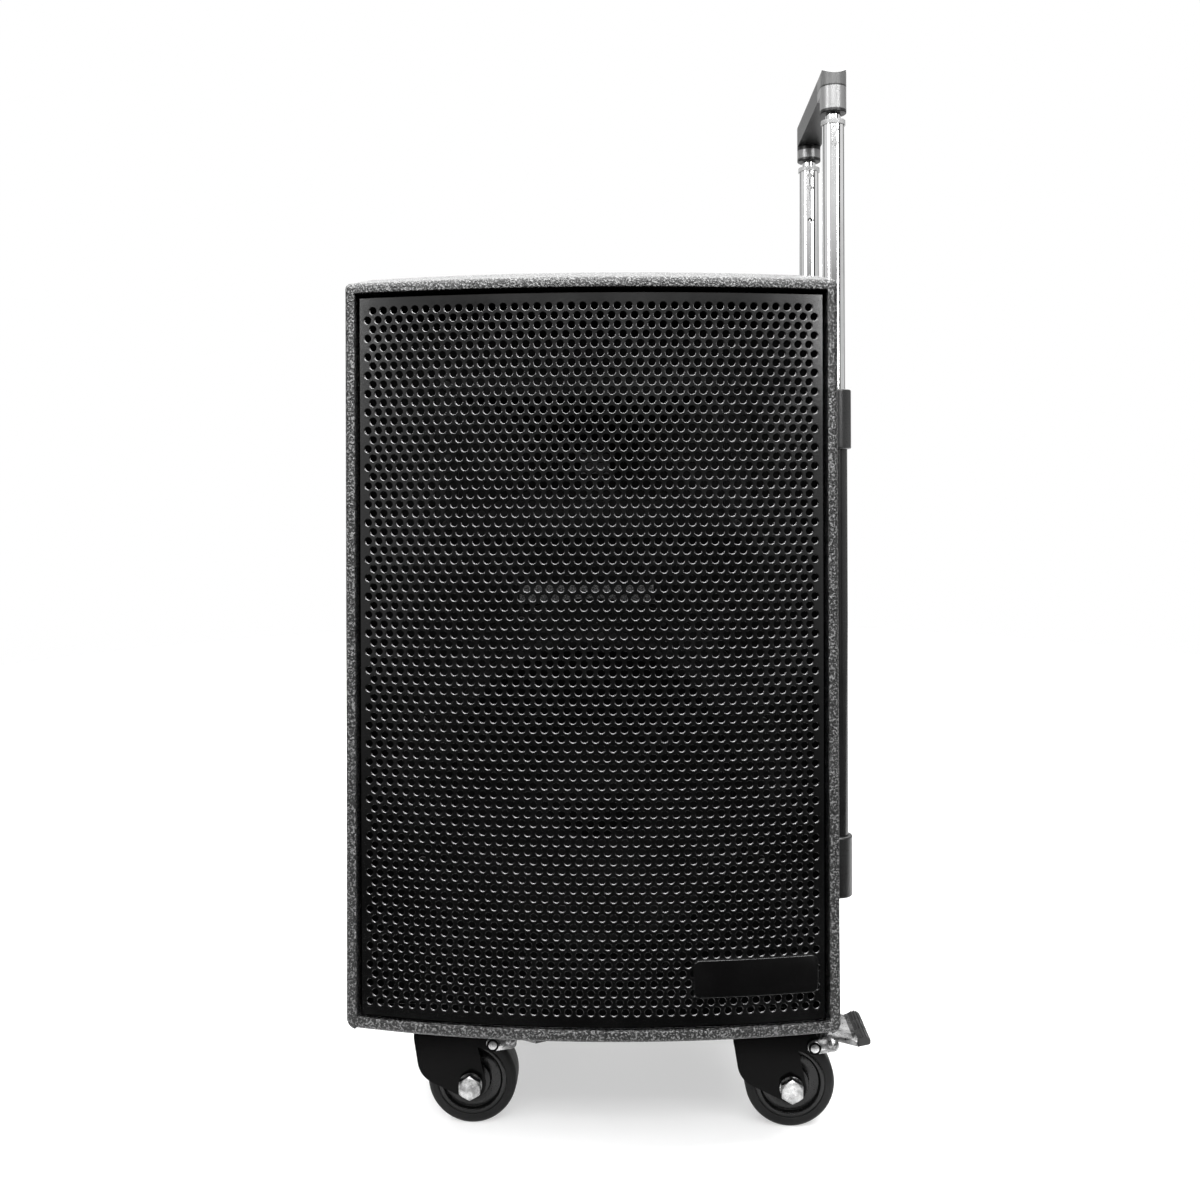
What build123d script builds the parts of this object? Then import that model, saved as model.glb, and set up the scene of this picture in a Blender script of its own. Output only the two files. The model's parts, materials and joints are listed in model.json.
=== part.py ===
from build123d import *
import os
from math import sqrt

# Trolley party speaker: a wooden cabinet with a curved front and a perforated grille,
# a 12 inch woofer and a horn tweeter, a rear amplifier panel, a two-stage pull handle
# on one side and four swivel casters, the front two with foot brakes.
#
# Working frame: X = 0 on the cabinet's centre plane, +X towards the pull handle,
# Y = 0 at the front corner edges, +Y towards the back, Z = 0 on the floor.
# The saved pieces are shifted so that the origin is under the middle of the whole object.

# ---- cabinet ----
cabinet_width = 390.0
cabinet_depth = 350.0
front_height = 591.0
bevel_depth = 85.0
bevel_rise = 18.5
front_bulge = 24.0
board = 12.0
lip_side = 8.2
lip_top = 7.7
lip_bottom = 9.0
baffle_setback = 20.0
baffle_thickness = 12.0
bottom_edge_radius = 7.0

# ---- clearances ----
seat_gap = 0.1
running_gap = 0.3
screw_gap = 0.15
cutout_gap = 1.0

# ---- grille and badge plate ----
grille_gap = 2.8
grille_gap_bottom = 1.5
grille_recess = 2.5
grille_sheet = 1.2
grille_edge_radius = 1.4
badge_width = 98.0
badge_height = 29.0
badge_thickness = 2.4
badge_corner = 5.0
badge_side_margin = 6.7
badge_bottom_margin = 23.2

# ---- woofer, measured from the baffle's front face ----
woofer_above_bottom = 185.0
woofer_frame_radius = 155.0
woofer_flange_width = 14.5
woofer_screw_inset = 7.5
woofer_flange = 4.0
basket_depth = 84.0
basket_sheet = 3.0
basket_waist_radius = 70.0
basket_window_count = 8
surround_inset = 21.0
surround_width = 22.0
surround_seat_width = 4.0
surround_sheet = 1.0
roll_height = 9.0
cone_depth = 40.0
cone_sheet = 1.2
cap_overlap = 10.0
cap_rise = 14.0
spider_depth = 62.0
coil_radius = 33.0
coil_wall = 1.5
magnet_radius = 70.0
magnet_height = 22.0
pole_plate = 7.0
pole_vent_radius = 8.0

# ---- horn and compression driver ----
horn_below_top = 136.0
horn_flange_width = 250.0
horn_flange_height = 130.0
horn_flange = 4.0
horn_screw_inset = 9.0
horn_mouth_width = 214.0
horn_mouth_height = 96.0
horn_throat = 26.0
horn_depth = 95.0
horn_wall = 3.0
driver_radius = 42.0
driver_depth = 46.0

# ---- screws ----
screw_head_radius = 4.0
screw_head_height = 2.4
screw_radius = 2.0
screw_length = 11.0

# ---- rear amplifier panel ----
amp_below_top = 136.0
amp_width = 250.0
amp_height = 180.0
amp_flange_width = 18.0
amp_sheet = 2.5
amp_recess = 22.0
board_standoff = 18.0
board_sheet = 1.6
board_width = 220.0
board_height = 150.0
pillar_inset = 5.0
pillar_size = 6.0
small_knob_radius = 10.0
small_knob_height = 13.0
master_knob_radius = 20.0
master_knob_height = 16.0
shaft_radius = 3.0
shaft_length = 9.0
button_radius = 6.0
button_proud = 4.0
button_travel = 2.0
rocker_width = 14.0
rocker_height = 22.0
rocker_tilt = 8.0
rocker_pivot_radius = 1.2
window_width = 84.0
window_height = 34.0
inlet_width = 27.0
inlet_height = 20.0
inlet_depth = 19.0
inlet_cavity_depth = 16.0
inlet_pin_length = 9.0
mic_bore_radius = 3.2
mic_bore_depth = 20.0
jack_body_depth = 16.0
jack_nut = 3.0
knob_row = 52.0
button_row = 4.0
jack_row = -52.0
display_x = -68.0
small_knobs_x = {"mic_knob": 8.0, "bass_knob": 44.0, "treble_knob": 80.0}
master_knob_offset = (44.0, 2.0)
buttons_x = {"play_button": -96.0, "mode_button": -66.0}
mic_jacks_x = (-96.0, -62.0)
aux_jack_x = -32.0
rocker_offset = (12.0, -55.0)
inlet_x = 74.0

# ---- inside: port, battery, transformer, crossover, pole socket ----
port_x = 95.0
port_above_bottom = 145.0
port_radius = 35.0
port_wall = 2.5
port_length = 120.0
battery_size = (151.0, 65.0, 94.0)
battery_margin = (13.0, 11.0)
transformer_size = (66.0, 54.0, 52.0)
transformer_x = 90.0
transformer_margin = 21.0
crossover_size = (110.0, 80.0)
crossover_y = 190.0
crossover_above_bottom = 295.0
pole_radius = 18.0
pole_depth = 80.0
pole_wall = 3.0
pole_flange_radius = 50.0
pole_flange = 3.0
pole_screw_radius = 40.0

# ---- pull handle on the +X side ----
tube_wall_gap = 1.0
tube_spacing = 154.0
near_tube_y = 99.0
outer_tube_radius = 11.0
outer_tube_wall = 1.2
stage_1_wall = 1.1
stage_1_extension = 232.0
stage_1_length = 315.0
stage_2_radius = 6.5
stage_2_wall = 1.0
stage_2_length = 265.0
glide_height = 14.0
bracket_wall = 3.3
bracket_plate = 11.0
bracket_edge_radius = 1.5
upper_bracket_below_top = 78.0
upper_bracket_height = 51.0
lower_bracket_above_bottom = 78.0
lower_bracket_height = 52.0
bracket_floor = 4.0
collar_height = 4.0
collar_lip = 0.9
guide_depth = 25.0
groove_width = 2.0
groove_depth = 0.5
pin_radius = 2.6
pin_setback = 0.2
pin_stem_radius = 1.9
pin_stem_depth = 1.5
pin_drops = (9.5, 21.2)
lock_hole_radius = 2.5
lock_hole_drop = 53.0
grip_width = 22.6
grip_gap = 6.0
grip_collar_height = 15.0
grip_lower_height = 23.0
grip_upper_height = 20.0
grip_end_drop = 11.0
grip_end_run = 30.0
release_length = 42.0
release_width = 12.0
release_proud = 1.5
release_travel = 4.0
release_height = 11.0

# ---- casters ----
caster_side_inset = 62.0
caster_end_inset = 74.0
wheel_radius = 37.5
wheel_width = 28.0
tyre_band = 8.5
tyre_shoulder = 5.0
hub_length = 39.0
caster_trail = 29.5
plate_size = 64.0
plate_thickness = 3.0
race_radius = 24.0
upper_race_height = 8.7
lower_race_height = 10.0
wheel_clearance = 5.0
crown_thickness = 3.0
crown_front_reach = 18.0
crown_rear_reach = 32.0
fork_inner = 20.0
fork_sheet = 3.0
axle_radius = 5.0
axle_head_across_flats = 17.5
axle_head_height = 7.0
washer_thickness = 1.5
axle_boss_radius = 12.5
fork_bulge_x = 6.0
fork_bulge_drop = 22.0
fork_bulge_radius = 21.0
kingpin_radius = 6.0
kingpin_head_radius = 10.0
kingpin_head_drop = 4.5
pedal_pivot_x = 48.5
pedal_pivot_drop = 8.0
pedal_rivet_radius = 2.5
pedal_rivet_head = 5.0
pedal_rivet_head_height = 2.0
pedal_sheet = 2.0
pedal_reach = 94.4
pedal_pin_x = 63.0
pedal_pin_drop = 6.0
pedal_pin_radius = 4.0
shoe_tip_x = 53.0
shoe_gap = 2.2
shoe_width = 24.0

# ---- derived places ----
half_width = cabinet_width / 2
inner_half = half_width - board
crown_z = 2 * wheel_radius + wheel_clearance
crown_top = crown_z + crown_thickness
race_bottom = crown_top + lower_race_height + running_gap
plate_bottom = race_bottom + upper_race_height
z_bottom = plate_bottom + plate_thickness
z_front_top = z_bottom + front_height
z_top = z_front_top + bevel_rise
front_radius = (half_width**2 + front_bulge**2) / (2 * front_bulge)
arc_centre_y = front_radius - front_bulge
front_axis = Axis((0, arc_centre_y, 0), (0, 0, 1))
room_floor = z_bottom + board
room_top = z_front_top - board
back_inner_y = cabinet_depth - board
step_y = bevel_depth + board + 1
baffle_back = baffle_setback + baffle_thickness
woofer_z = z_bottom + woofer_above_bottom
woofer_wall_radius = woofer_frame_radius - woofer_flange_width
surround_outer = woofer_frame_radius - surround_inset
surround_inner = surround_outer - surround_width
cone_neck_radius = coil_radius + coil_wall + 1.5
horn_z = z_front_top - horn_below_top
amp_z = z_front_top - amp_below_top
port_z = z_bottom + port_above_bottom
pole_y = cabinet_depth / 2
grille_half = half_width - lip_side - grille_gap
grille_low = z_bottom + lip_bottom + grille_gap_bottom
grille_high = z_front_top - lip_top - grille_gap
badge_x = grille_half - badge_side_margin - badge_width / 2
badge_z = grille_low + badge_bottom_margin + badge_height / 2
panel_floor_y = cabinet_depth - amp_recess
panel_inner_y = panel_floor_y - amp_sheet
circuit_y = panel_inner_y - board_standoff
handle_stand_off = tube_wall_gap + outer_tube_radius
handle_x = half_width + handle_stand_off
tube_ys = (near_tube_y, near_tube_y + tube_spacing)
outer_tube_bore = outer_tube_radius - outer_tube_wall
stage_1_radius = outer_tube_bore - running_gap
bracket_nose_radius = outer_tube_radius + bracket_wall
lower_bracket_z = z_bottom + lower_bracket_above_bottom
upper_bracket_top = z_front_top - upper_bracket_below_top
upper_bracket_z = upper_bracket_top - upper_bracket_height
lower_bracket_top = lower_bracket_z + lower_bracket_height
outer_tube_bottom = lower_bracket_z + bracket_floor
outer_tube_top = upper_bracket_top - bracket_floor
stage_1_bore = stage_1_radius - stage_1_wall
stage_1_top = upper_bracket_top + stage_1_extension
stage_1_bottom = stage_1_top - stage_1_length
grip_bottom = stage_1_top + grip_gap
grip_seam = grip_bottom + grip_lower_height
grip_top = grip_seam + grip_upper_height
grip_bar_bottom = grip_bottom + grip_collar_height
stage_2_top = grip_seam - bracket_floor
handle_mid_y = near_tube_y + tube_spacing / 2
grip_half_length = (tube_spacing + grip_width) / 2
stage_2_bottom = stage_2_top - stage_2_length
kingpin_head_z = crown_z - kingpin_head_drop
axle_to_shoe = shoe_tip_x - caster_trail
shoe_tip = (shoe_tip_x, wheel_radius + sqrt(wheel_radius**2 - axle_to_shoe**2) + shoe_gap)
pedal_pivot = (pedal_pivot_x, crown_z - pedal_pivot_drop)
pedal_pin = (pedal_pin_x, crown_z - pedal_pin_drop)
caster_x = half_width - caster_side_inset
caster_front_y = caster_end_inset
caster_rear_y = cabinet_depth - caster_end_inset
fork_outer = fork_inner + fork_sheet
caster_places = {
    "front_left": (-caster_x, caster_front_y),
    "front_right": (caster_x, caster_front_y),
    "rear_left": (-caster_x, caster_rear_y),
    "rear_right": (caster_x, caster_rear_y),
}
braked = ("front_left", "front_right")

# ---- origin: middle of the overall box, on the floor ----
panel_back_y = cabinet_depth + amp_sheet
rearmost_y = panel_back_y + screw_head_height
origin_x = (caster_x + pedal_reach - half_width) / 2
origin_y = (rearmost_y - front_bulge) / 2
to_origin = Location((-origin_x, -origin_y, 0))


def save(piece, name):
    """Label a finished piece and write it in the saved frame."""
    placed = piece.part.moved(to_origin)
    placed.label = name
    export_step(placed, f"parts/{name}.step")


def front_plane(x, y, z):
    """Sketch plane that faces forwards: local x is +X, local y is +Z, normal -Y."""
    return Plane(origin=(x, y, z), x_dir=(1, 0, 0), z_dir=(0, -1, 0))


def back_plane(x, y, z):
    """Sketch plane that faces backwards, with its normal along +Y."""
    return Plane(origin=(x, y, z), x_dir=(-1, 0, 0), z_dir=(0, 1, 0))


def side_plane(y, z):
    """Sketch plane on the cabinet's +X wall, with its normal along +X."""
    return Plane(origin=(half_width, y, z), x_dir=(0, 1, 0), z_dir=(1, 0, 0))


def radial_plane(y, z):
    """Profile plane for turned speaker parts: local x is depth, local y is radius."""
    return Plane(origin=(0, y, z), x_dir=(0, 1, 0), z_dir=(1, 0, 0))


def speaker_axis(z):
    return Axis((0, 0, z), (0, 1, 0))


def arc_y(x, inset):
    """Depth of the curved front at x, for a surface set back by inset."""
    return arc_centre_y - sqrt((front_radius - inset) ** 2 - x**2)


def front_outline(half, inset, back_y):
    """Closed plan outline: straight sides and back, convex front."""
    edge_y = arc_y(half, inset)
    with BuildLine() as outline:
        Polyline((-half, edge_y), (-half, back_y), (half, back_y), (half, edge_y))
        ThreePointArc((half, edge_y), (0, inset - front_bulge), (-half, edge_y))
    return outline.line


def box_between(low, high, mode=Mode.ADD):
    """Box between two corners, inside the current part."""
    size = [b - a for a, b in zip(low, high)]
    middle = [(a + b) / 2 for a, b in zip(low, high)]
    with Locations(tuple(middle)):
        Box(*size, mode=mode)


def screw_holes(planes, depth):
    """Round holes for screws that enter along each plane's normal."""
    with Locations(*planes):
        Cylinder(
            screw_radius + screw_gap,
            depth * 2,
            mode=Mode.SUBTRACT,
        )


os.makedirs("parts", exist_ok=True)

# ---- places of the screws ----
woofer_screws = []
for place in PolarLocations(woofer_frame_radius - woofer_screw_inset, 8, start_angle=22.5):
    spot = place.position
    woofer_screws.append(front_plane(spot.X, baffle_setback - woofer_flange, woofer_z + spot.Y))

horn_screws = []
for side_x in (-1, 1):
    for side_z in (-1, 0, 1):
        screw_x = side_x * (horn_flange_width / 2 - horn_screw_inset)
        screw_z = horn_z + side_z * (horn_flange_height / 2 - horn_screw_inset)
        horn_screws.append(front_plane(screw_x, baffle_setback - horn_flange, screw_z))

amp_screws = []
for side_x in (-1, 0, 1):
    for side_z in (-1, 1):
        screw_x = side_x * (amp_width + amp_flange_width) / 2
        screw_z = amp_z + side_z * (amp_height + amp_flange_width) / 2
        amp_screws.append(back_plane(screw_x, panel_back_y, screw_z))

pole_screws = []
for place in PolarLocations(pole_screw_radius, 4, start_angle=45):
    spot = place.position
    low = Plane(origin=(spot.X, pole_y + spot.Y, z_bottom - pole_flange), z_dir=(0, 0, -1))
    pole_screws.append(low)

caster_screws = []
for x, y in caster_places.values():
    for dx in (-1, 1):
        for dy in (-1, 1):
            edge = plate_size / 2 - 6
            spot = (x + dx * edge, y + dy * edge, plate_bottom)
            caster_screws.append(Plane(origin=spot, z_dir=(0, 0, -1)))

bracket_screws = []
for low_z, high_z in ((lower_bracket_z, lower_bracket_top), (upper_bracket_z, upper_bracket_top)):
    for dy in (-1, 1):
        for dz in (-1, 1):
            spot_z = (low_z + high_z) / 2 + dz * 14
            plane = side_plane(handle_mid_y + dy * 32, spot_z)
            bracket_screws.append(plane.offset(bracket_plate))

# ======================================================================
# Cabinet boards
# ======================================================================

# solid block with the cabinet's outer shape, from which the boards are cut
with BuildPart() as cabinet_block:
    with BuildSketch(Plane.XY.offset(z_bottom)):
        add(front_outline(half_width, 0, cabinet_depth))
        make_face()
    extrude(amount=z_top - z_bottom)
    bottom_edges = cabinet_block.edges().filter_by(Axis.Y).group_by(Axis.Z)[0]
    fillet(bottom_edges, bottom_edge_radius)
    slope = bevel_rise / bevel_depth
    spare = 10.0
    with BuildSketch(Plane.YZ):
        with BuildLine():
            Polyline(
                (-front_bulge - spare, z_front_top - spare * slope),
                (bevel_depth - front_bulge, z_top),
                (bevel_depth - front_bulge, z_top + spare),
                (-front_bulge - spare, z_top + spare),
                close=True,
            )
        make_face()
    revolve(axis=front_axis, mode=Mode.SUBTRACT)

# the frame's mouth in front of the baffle, inside the visible lip
with BuildPart() as mouth:
    box_between(
        (lip_side - half_width, -2 * front_bulge, z_bottom + lip_bottom),
        (half_width - lip_side, baffle_setback, z_front_top - lip_top),
    )

for name, side in (("left_side_panel", -1), ("right_side_panel", 1)):
    with BuildPart() as side_panel:
        add(cabinet_block.part)
        with Locations((side * (half_width - board / 2), 0, z_top)):
            Box(board, 3 * cabinet_depth, 2 * z_top, mode=Mode.INTERSECT)
        add(mouth.part, mode=Mode.SUBTRACT)
        if side > 0:
            screw_holes(bracket_screws, screw_length)
    save(side_panel, name)

with BuildPart() as top_panel:
    add(cabinet_block.part)
    box_between(
        (-inner_half, -cabinet_depth, room_top),
        (inner_half, 2 * cabinet_depth, 2 * z_top),
        mode=Mode.INTERSECT,
    )
    add(mouth.part, mode=Mode.SUBTRACT)
    box_between(
        (-inner_half, step_y, room_top),
        (inner_half, back_inner_y, z_top - board),
        mode=Mode.SUBTRACT,
    )
save(top_panel, "top_panel")

with BuildPart() as bottom_panel:
    add(cabinet_block.part)
    box_between(
        (-inner_half, -cabinet_depth, 0),
        (inner_half, 2 * cabinet_depth, room_floor),
        mode=Mode.INTERSECT,
    )
    add(mouth.part, mode=Mode.SUBTRACT)
    with Locations((0, pole_y, z_bottom)):
        Cylinder(pole_radius + pole_wall + seat_gap, 3 * board, mode=Mode.SUBTRACT)
    screw_holes(pole_screws + caster_screws, screw_length)
save(bottom_panel, "bottom_panel")

with BuildPart() as back_panel:
    box_between(
        (-inner_half, back_inner_y, room_floor),
        (inner_half, cabinet_depth, room_top),
    )
    cut_x = amp_width / 2 + seat_gap
    cut_z = amp_height / 2 + seat_gap
    box_between(
        (-cut_x, 0, amp_z - cut_z),
        (cut_x, 2 * cabinet_depth, amp_z + cut_z),
        mode=Mode.SUBTRACT,
    )
    with Locations(back_plane(port_x, cabinet_depth, port_z)):
        Cylinder(port_radius + port_wall + seat_gap, 3 * board, mode=Mode.SUBTRACT)
    screw_holes(amp_screws, screw_length)
save(back_panel, "back_panel")

with BuildPart() as front_baffle:
    box_between(
        (-inner_half, baffle_setback, room_floor),
        (inner_half, baffle_back, room_top),
    )
    with Locations(front_plane(0, baffle_setback, woofer_z)):
        Cylinder(woofer_wall_radius + cutout_gap, 3 * board, mode=Mode.SUBTRACT)
    cut_x = horn_mouth_width / 2 + horn_wall + cutout_gap
    cut_z = horn_mouth_height / 2 + horn_wall + cutout_gap
    box_between(
        (-cut_x, 0, horn_z - cut_z),
        (cut_x, baffle_back + 1, horn_z + cut_z),
        mode=Mode.SUBTRACT,
    )
    screw_holes(woofer_screws + horn_screws, screw_length)
save(front_baffle, "front_baffle")

# ======================================================================
# Grille and badge plate
# ======================================================================

# perforated steel sheet with bent-back edges; the holes are a finish, not cut here
with BuildPart() as grille:
    with BuildSketch(Plane.XY.offset(grille_low)):
        add(front_outline(grille_half, grille_recess, baffle_setback))
        make_face()
    extrude(amount=grille_high - grille_low)
    fillet(grille.faces().sort_by(Axis.Y)[0].edges(), grille_edge_radius)
    with BuildSketch(Plane.XY.offset(grille_low + grille_sheet)):
        inner_half_width = grille_half - grille_sheet
        add(front_outline(inner_half_width, grille_recess + grille_sheet, baffle_setback + 1))
        make_face()
    extrude(amount=grille_high - grille_low - 2 * grille_sheet, mode=Mode.SUBTRACT)
save(grille, "grille")

with BuildPart() as badge_plate:
    with BuildSketch(front_plane(badge_x, 0, badge_z)):
        RectangleRounded(badge_width, badge_height, badge_corner)
    extrude(amount=2 * front_bulge, both=True)
    with Locations((0, arc_centre_y, badge_z)):
        Cylinder(
            front_radius - grille_recess + badge_thickness,
            2 * badge_height,
            mode=Mode.INTERSECT,
        )
        Cylinder(front_radius - grille_recess, 3 * badge_height, mode=Mode.SUBTRACT)
save(badge_plate, "badge_plate")

# ======================================================================
# Woofer
# ======================================================================

woofer_plane = radial_plane(baffle_setback, woofer_z)
basket_neck = coil_radius + coil_wall + basket_sheet
frame_inner = surround_outer - surround_seat_width

with BuildPart() as woofer_basket:
    with BuildSketch(woofer_plane):
        with BuildLine():
            Polyline(
                (-woofer_flange, woofer_frame_radius),
                (0, woofer_frame_radius),
                (0, woofer_wall_radius),
                (board, woofer_wall_radius),
                (basket_depth - basket_sheet, basket_waist_radius),
                (basket_depth, basket_waist_radius),
                (basket_depth, basket_neck),
                (basket_depth - basket_sheet, basket_neck),
                (basket_depth - basket_sheet, basket_waist_radius - basket_sheet),
                (board - basket_sheet, woofer_wall_radius - basket_sheet),
                (0, woofer_wall_radius - basket_sheet),
                (0, frame_inner),
                (-woofer_flange, frame_inner),
                close=True,
            )
        make_face()
    revolve(axis=speaker_axis(woofer_z))
    # windows between the basket's arms
    window_radius = (woofer_wall_radius + basket_waist_radius) / 2
    window_y = baffle_setback + (board + basket_depth) / 2
    for turn in PolarLocations(window_radius, basket_window_count):
        window_plane = front_plane(turn.position.X, window_y, woofer_z + turn.position.Y)
        with Locations(window_plane.rotated((0, 0, turn.orientation.Z))):
            Box(30, 52, 2 * (basket_depth - board) * 0.4, mode=Mode.SUBTRACT)
    screw_holes(woofer_screws, screw_length)
save(woofer_basket, "woofer_basket")

surround_seat = -woofer_flange
roll_middle = (surround_inner + frame_inner) / 2
with BuildPart() as woofer_surround:
    with BuildSketch(woofer_plane):
        with BuildLine():
            Line((surround_seat, surround_outer), (surround_seat, surround_inner))
            Line((surround_seat, surround_inner), (surround_seat - surround_sheet, surround_inner))
            ThreePointArc(
                (surround_seat - surround_sheet, surround_inner),
                (surround_seat - roll_height, roll_middle),
                (surround_seat - surround_sheet, frame_inner),
            )
            Line(
                (surround_seat - surround_sheet, frame_inner),
                (surround_seat - surround_sheet, surround_outer),
            )
            Line((surround_seat - surround_sheet, surround_outer), (surround_seat, surround_outer))
        make_face()
    revolve(axis=speaker_axis(woofer_z))
    with BuildSketch(woofer_plane):
        with BuildLine():
            Line((surround_seat + 1, frame_inner - 1), (surround_seat + 1, surround_inner + 1))
            Line((surround_seat + 1, surround_inner + 1), (surround_seat - 0.2, surround_inner + 1))
            ThreePointArc(
                (surround_seat - 0.2, surround_inner + 1),
                (surround_seat - roll_height + surround_sheet, roll_middle),
                (surround_seat - 0.2, frame_inner - 1),
            )
            Line((surround_seat - 0.2, frame_inner - 1), (surround_seat + 1, frame_inner - 1))
        make_face()
    revolve(axis=speaker_axis(woofer_z), mode=Mode.SUBTRACT)
save(woofer_surround, "woofer_surround")

cone_front = surround_seat
with BuildPart() as woofer_cone:
    with BuildSketch(woofer_plane):
        with BuildLine():
            Polyline(
                (cone_front, surround_inner + 1),
                (cone_front, surround_inner - cone_sheet),
                (cone_depth, cone_neck_radius),
                (cone_depth + cone_sheet, cone_neck_radius),
                (cone_front + cone_sheet, surround_inner + 1),
                close=True,
            )
        make_face()
    revolve(axis=speaker_axis(woofer_z))
save(woofer_cone, "woofer_cone")

cap_radius = cone_neck_radius + cap_overlap
cone_mouth_radius = surround_inner - cone_sheet
cap_share = (cone_mouth_radius - cap_radius) / (cone_mouth_radius - cone_neck_radius)
cap_seat = cone_front + (cone_depth - cone_front) * cap_share - seat_gap
cap_sphere = (cap_radius**2 + cap_rise**2) / (2 * cap_rise)
cap_middle_y = baffle_setback + cap_seat - cap_rise + cap_sphere
with BuildPart() as woofer_dust_cap:
    with Locations((0, cap_middle_y, woofer_z)):
        Sphere(cap_sphere)
        Sphere(cap_sphere - cone_sheet, mode=Mode.SUBTRACT)
    with Locations(front_plane(0, baffle_setback + cap_seat, woofer_z)):
        Cylinder(
            cap_sphere,
            2 * cap_rise,
            align=(Align.CENTER, Align.CENTER, Align.MIN),
            mode=Mode.INTERSECT,
        )
save(woofer_dust_cap, "woofer_dust_cap")

basket_taper = (woofer_wall_radius - basket_waist_radius) / (basket_depth - board)
spider_run = spider_depth + coil_wall - (board - basket_sheet)
spider_radius = woofer_wall_radius - basket_sheet - spider_run * basket_taper - running_gap
with BuildPart() as woofer_voice_coil:
    with BuildSketch(woofer_plane):
        with BuildLine():
            Polyline(
                (cone_depth, coil_radius),
                (basket_depth + 12, coil_radius),
                (basket_depth + 12, coil_radius + coil_wall),
                (spider_depth + coil_wall, coil_radius + coil_wall),
                (spider_depth + coil_wall, spider_radius),
                (spider_depth, spider_radius),
                (spider_depth, coil_radius + coil_wall),
                (cone_depth + cone_sheet + 1, coil_radius + coil_wall),
                (cone_depth + cone_sheet + 1, cone_neck_radius + 1),
                (cone_depth + cone_sheet, cone_neck_radius + 1),
                (cone_depth + cone_sheet, coil_radius + coil_wall),
                (cone_depth, coil_radius + coil_wall),
                close=True,
            )
        make_face()
    revolve(axis=speaker_axis(woofer_z))
save(woofer_voice_coil, "woofer_voice_coil")

pole_piece_radius = coil_radius - 1
magnet_front = basket_depth + pole_plate
magnet_back = magnet_front + magnet_height
with BuildPart() as woofer_magnet:
    with BuildSketch(woofer_plane):
        with BuildLine():
            Polyline(
                (basket_depth, coil_radius + coil_wall + 1),
                (basket_depth, basket_waist_radius - 8),
                (magnet_front, basket_waist_radius - 8),
                (magnet_front, magnet_radius),
                (magnet_back, magnet_radius),
                (magnet_back, basket_waist_radius - 8),
                (magnet_back + pole_plate, basket_waist_radius - 8),
                (magnet_back + pole_plate, pole_vent_radius),
                (basket_depth, pole_vent_radius),
                (basket_depth, pole_piece_radius),
                (magnet_back, pole_piece_radius),
                (magnet_back, coil_radius + coil_wall + 6),
                (magnet_front, coil_radius + coil_wall + 6),
                (magnet_front, coil_radius + coil_wall + 1),
                close=True,
            )
        make_face()
    revolve(axis=speaker_axis(woofer_z))
save(woofer_magnet, "woofer_magnet")

# ======================================================================
# Horn and compression driver
# ======================================================================


def horn_section(share, extra, depth):
    """Rectangular horn section at a depth, between the mouth (1) and the throat (0)."""
    width = horn_throat + (horn_mouth_width - horn_throat) * share + 2 * extra
    height = horn_throat + (horn_mouth_height - horn_throat) * share + 2 * extra
    with BuildSketch(front_plane(0, baffle_setback + depth, horn_z)) as section:
        Rectangle(width, height)
    return section.sketch


with BuildPart() as horn:
    for share, depth in ((1, 0), (0.42, horn_depth * 0.4), (0, horn_depth)):
        add(horn_section(share, horn_wall, depth))
    loft()
    with BuildSketch(front_plane(0, baffle_setback, horn_z)):
        RectangleRounded(horn_flange_width, horn_flange_height, 6)
    extrude(amount=horn_flange)
    with BuildSketch(front_plane(0, baffle_setback + horn_depth, horn_z)):
        Circle(driver_radius)
    extrude(amount=horn_wall)
    for share, depth in ((1, 0), (0.42, horn_depth * 0.4), (0, horn_depth)):
        add(horn_section(share, 0, depth))
    loft(mode=Mode.SUBTRACT)
    with BuildSketch(front_plane(0, baffle_setback, horn_z)):
        Rectangle(horn_mouth_width, horn_mouth_height)
    extrude(amount=horn_flange, mode=Mode.SUBTRACT)
    screw_holes(horn_screws, screw_length)
save(horn, "horn")

with BuildPart() as compression_driver:
    with BuildSketch(front_plane(0, baffle_setback + horn_depth, horn_z)):
        Circle(driver_radius)
    extrude(amount=-driver_depth)
    fillet(compression_driver.faces().sort_by(Axis.Y)[-1].edges(), 4)
    with BuildSketch(front_plane(0, baffle_setback + horn_depth, horn_z)):
        Circle(horn_throat / 2)
    extrude(amount=-driver_depth / 3, mode=Mode.SUBTRACT)
save(compression_driver, "compression_driver")

# ======================================================================
# Rear amplifier panel and what it carries
# ======================================================================

knob_z = amp_z + knob_row
button_z = amp_z + button_row
jack_z = amp_z + jack_row
small_knobs_at = {name: (x, knob_z) for name, x in small_knobs_x.items()}
master_knob_at = (master_knob_offset[0], amp_z + master_knob_offset[1])
buttons_at = {name: (x, button_z) for name, x in buttons_x.items()}
mic_jacks_at = [(x, jack_z) for x in mic_jacks_x]
rocker_at = (rocker_offset[0], amp_z + rocker_offset[1])
shaft_spots = list(small_knobs_at.values()) + [master_knob_at]

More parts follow.
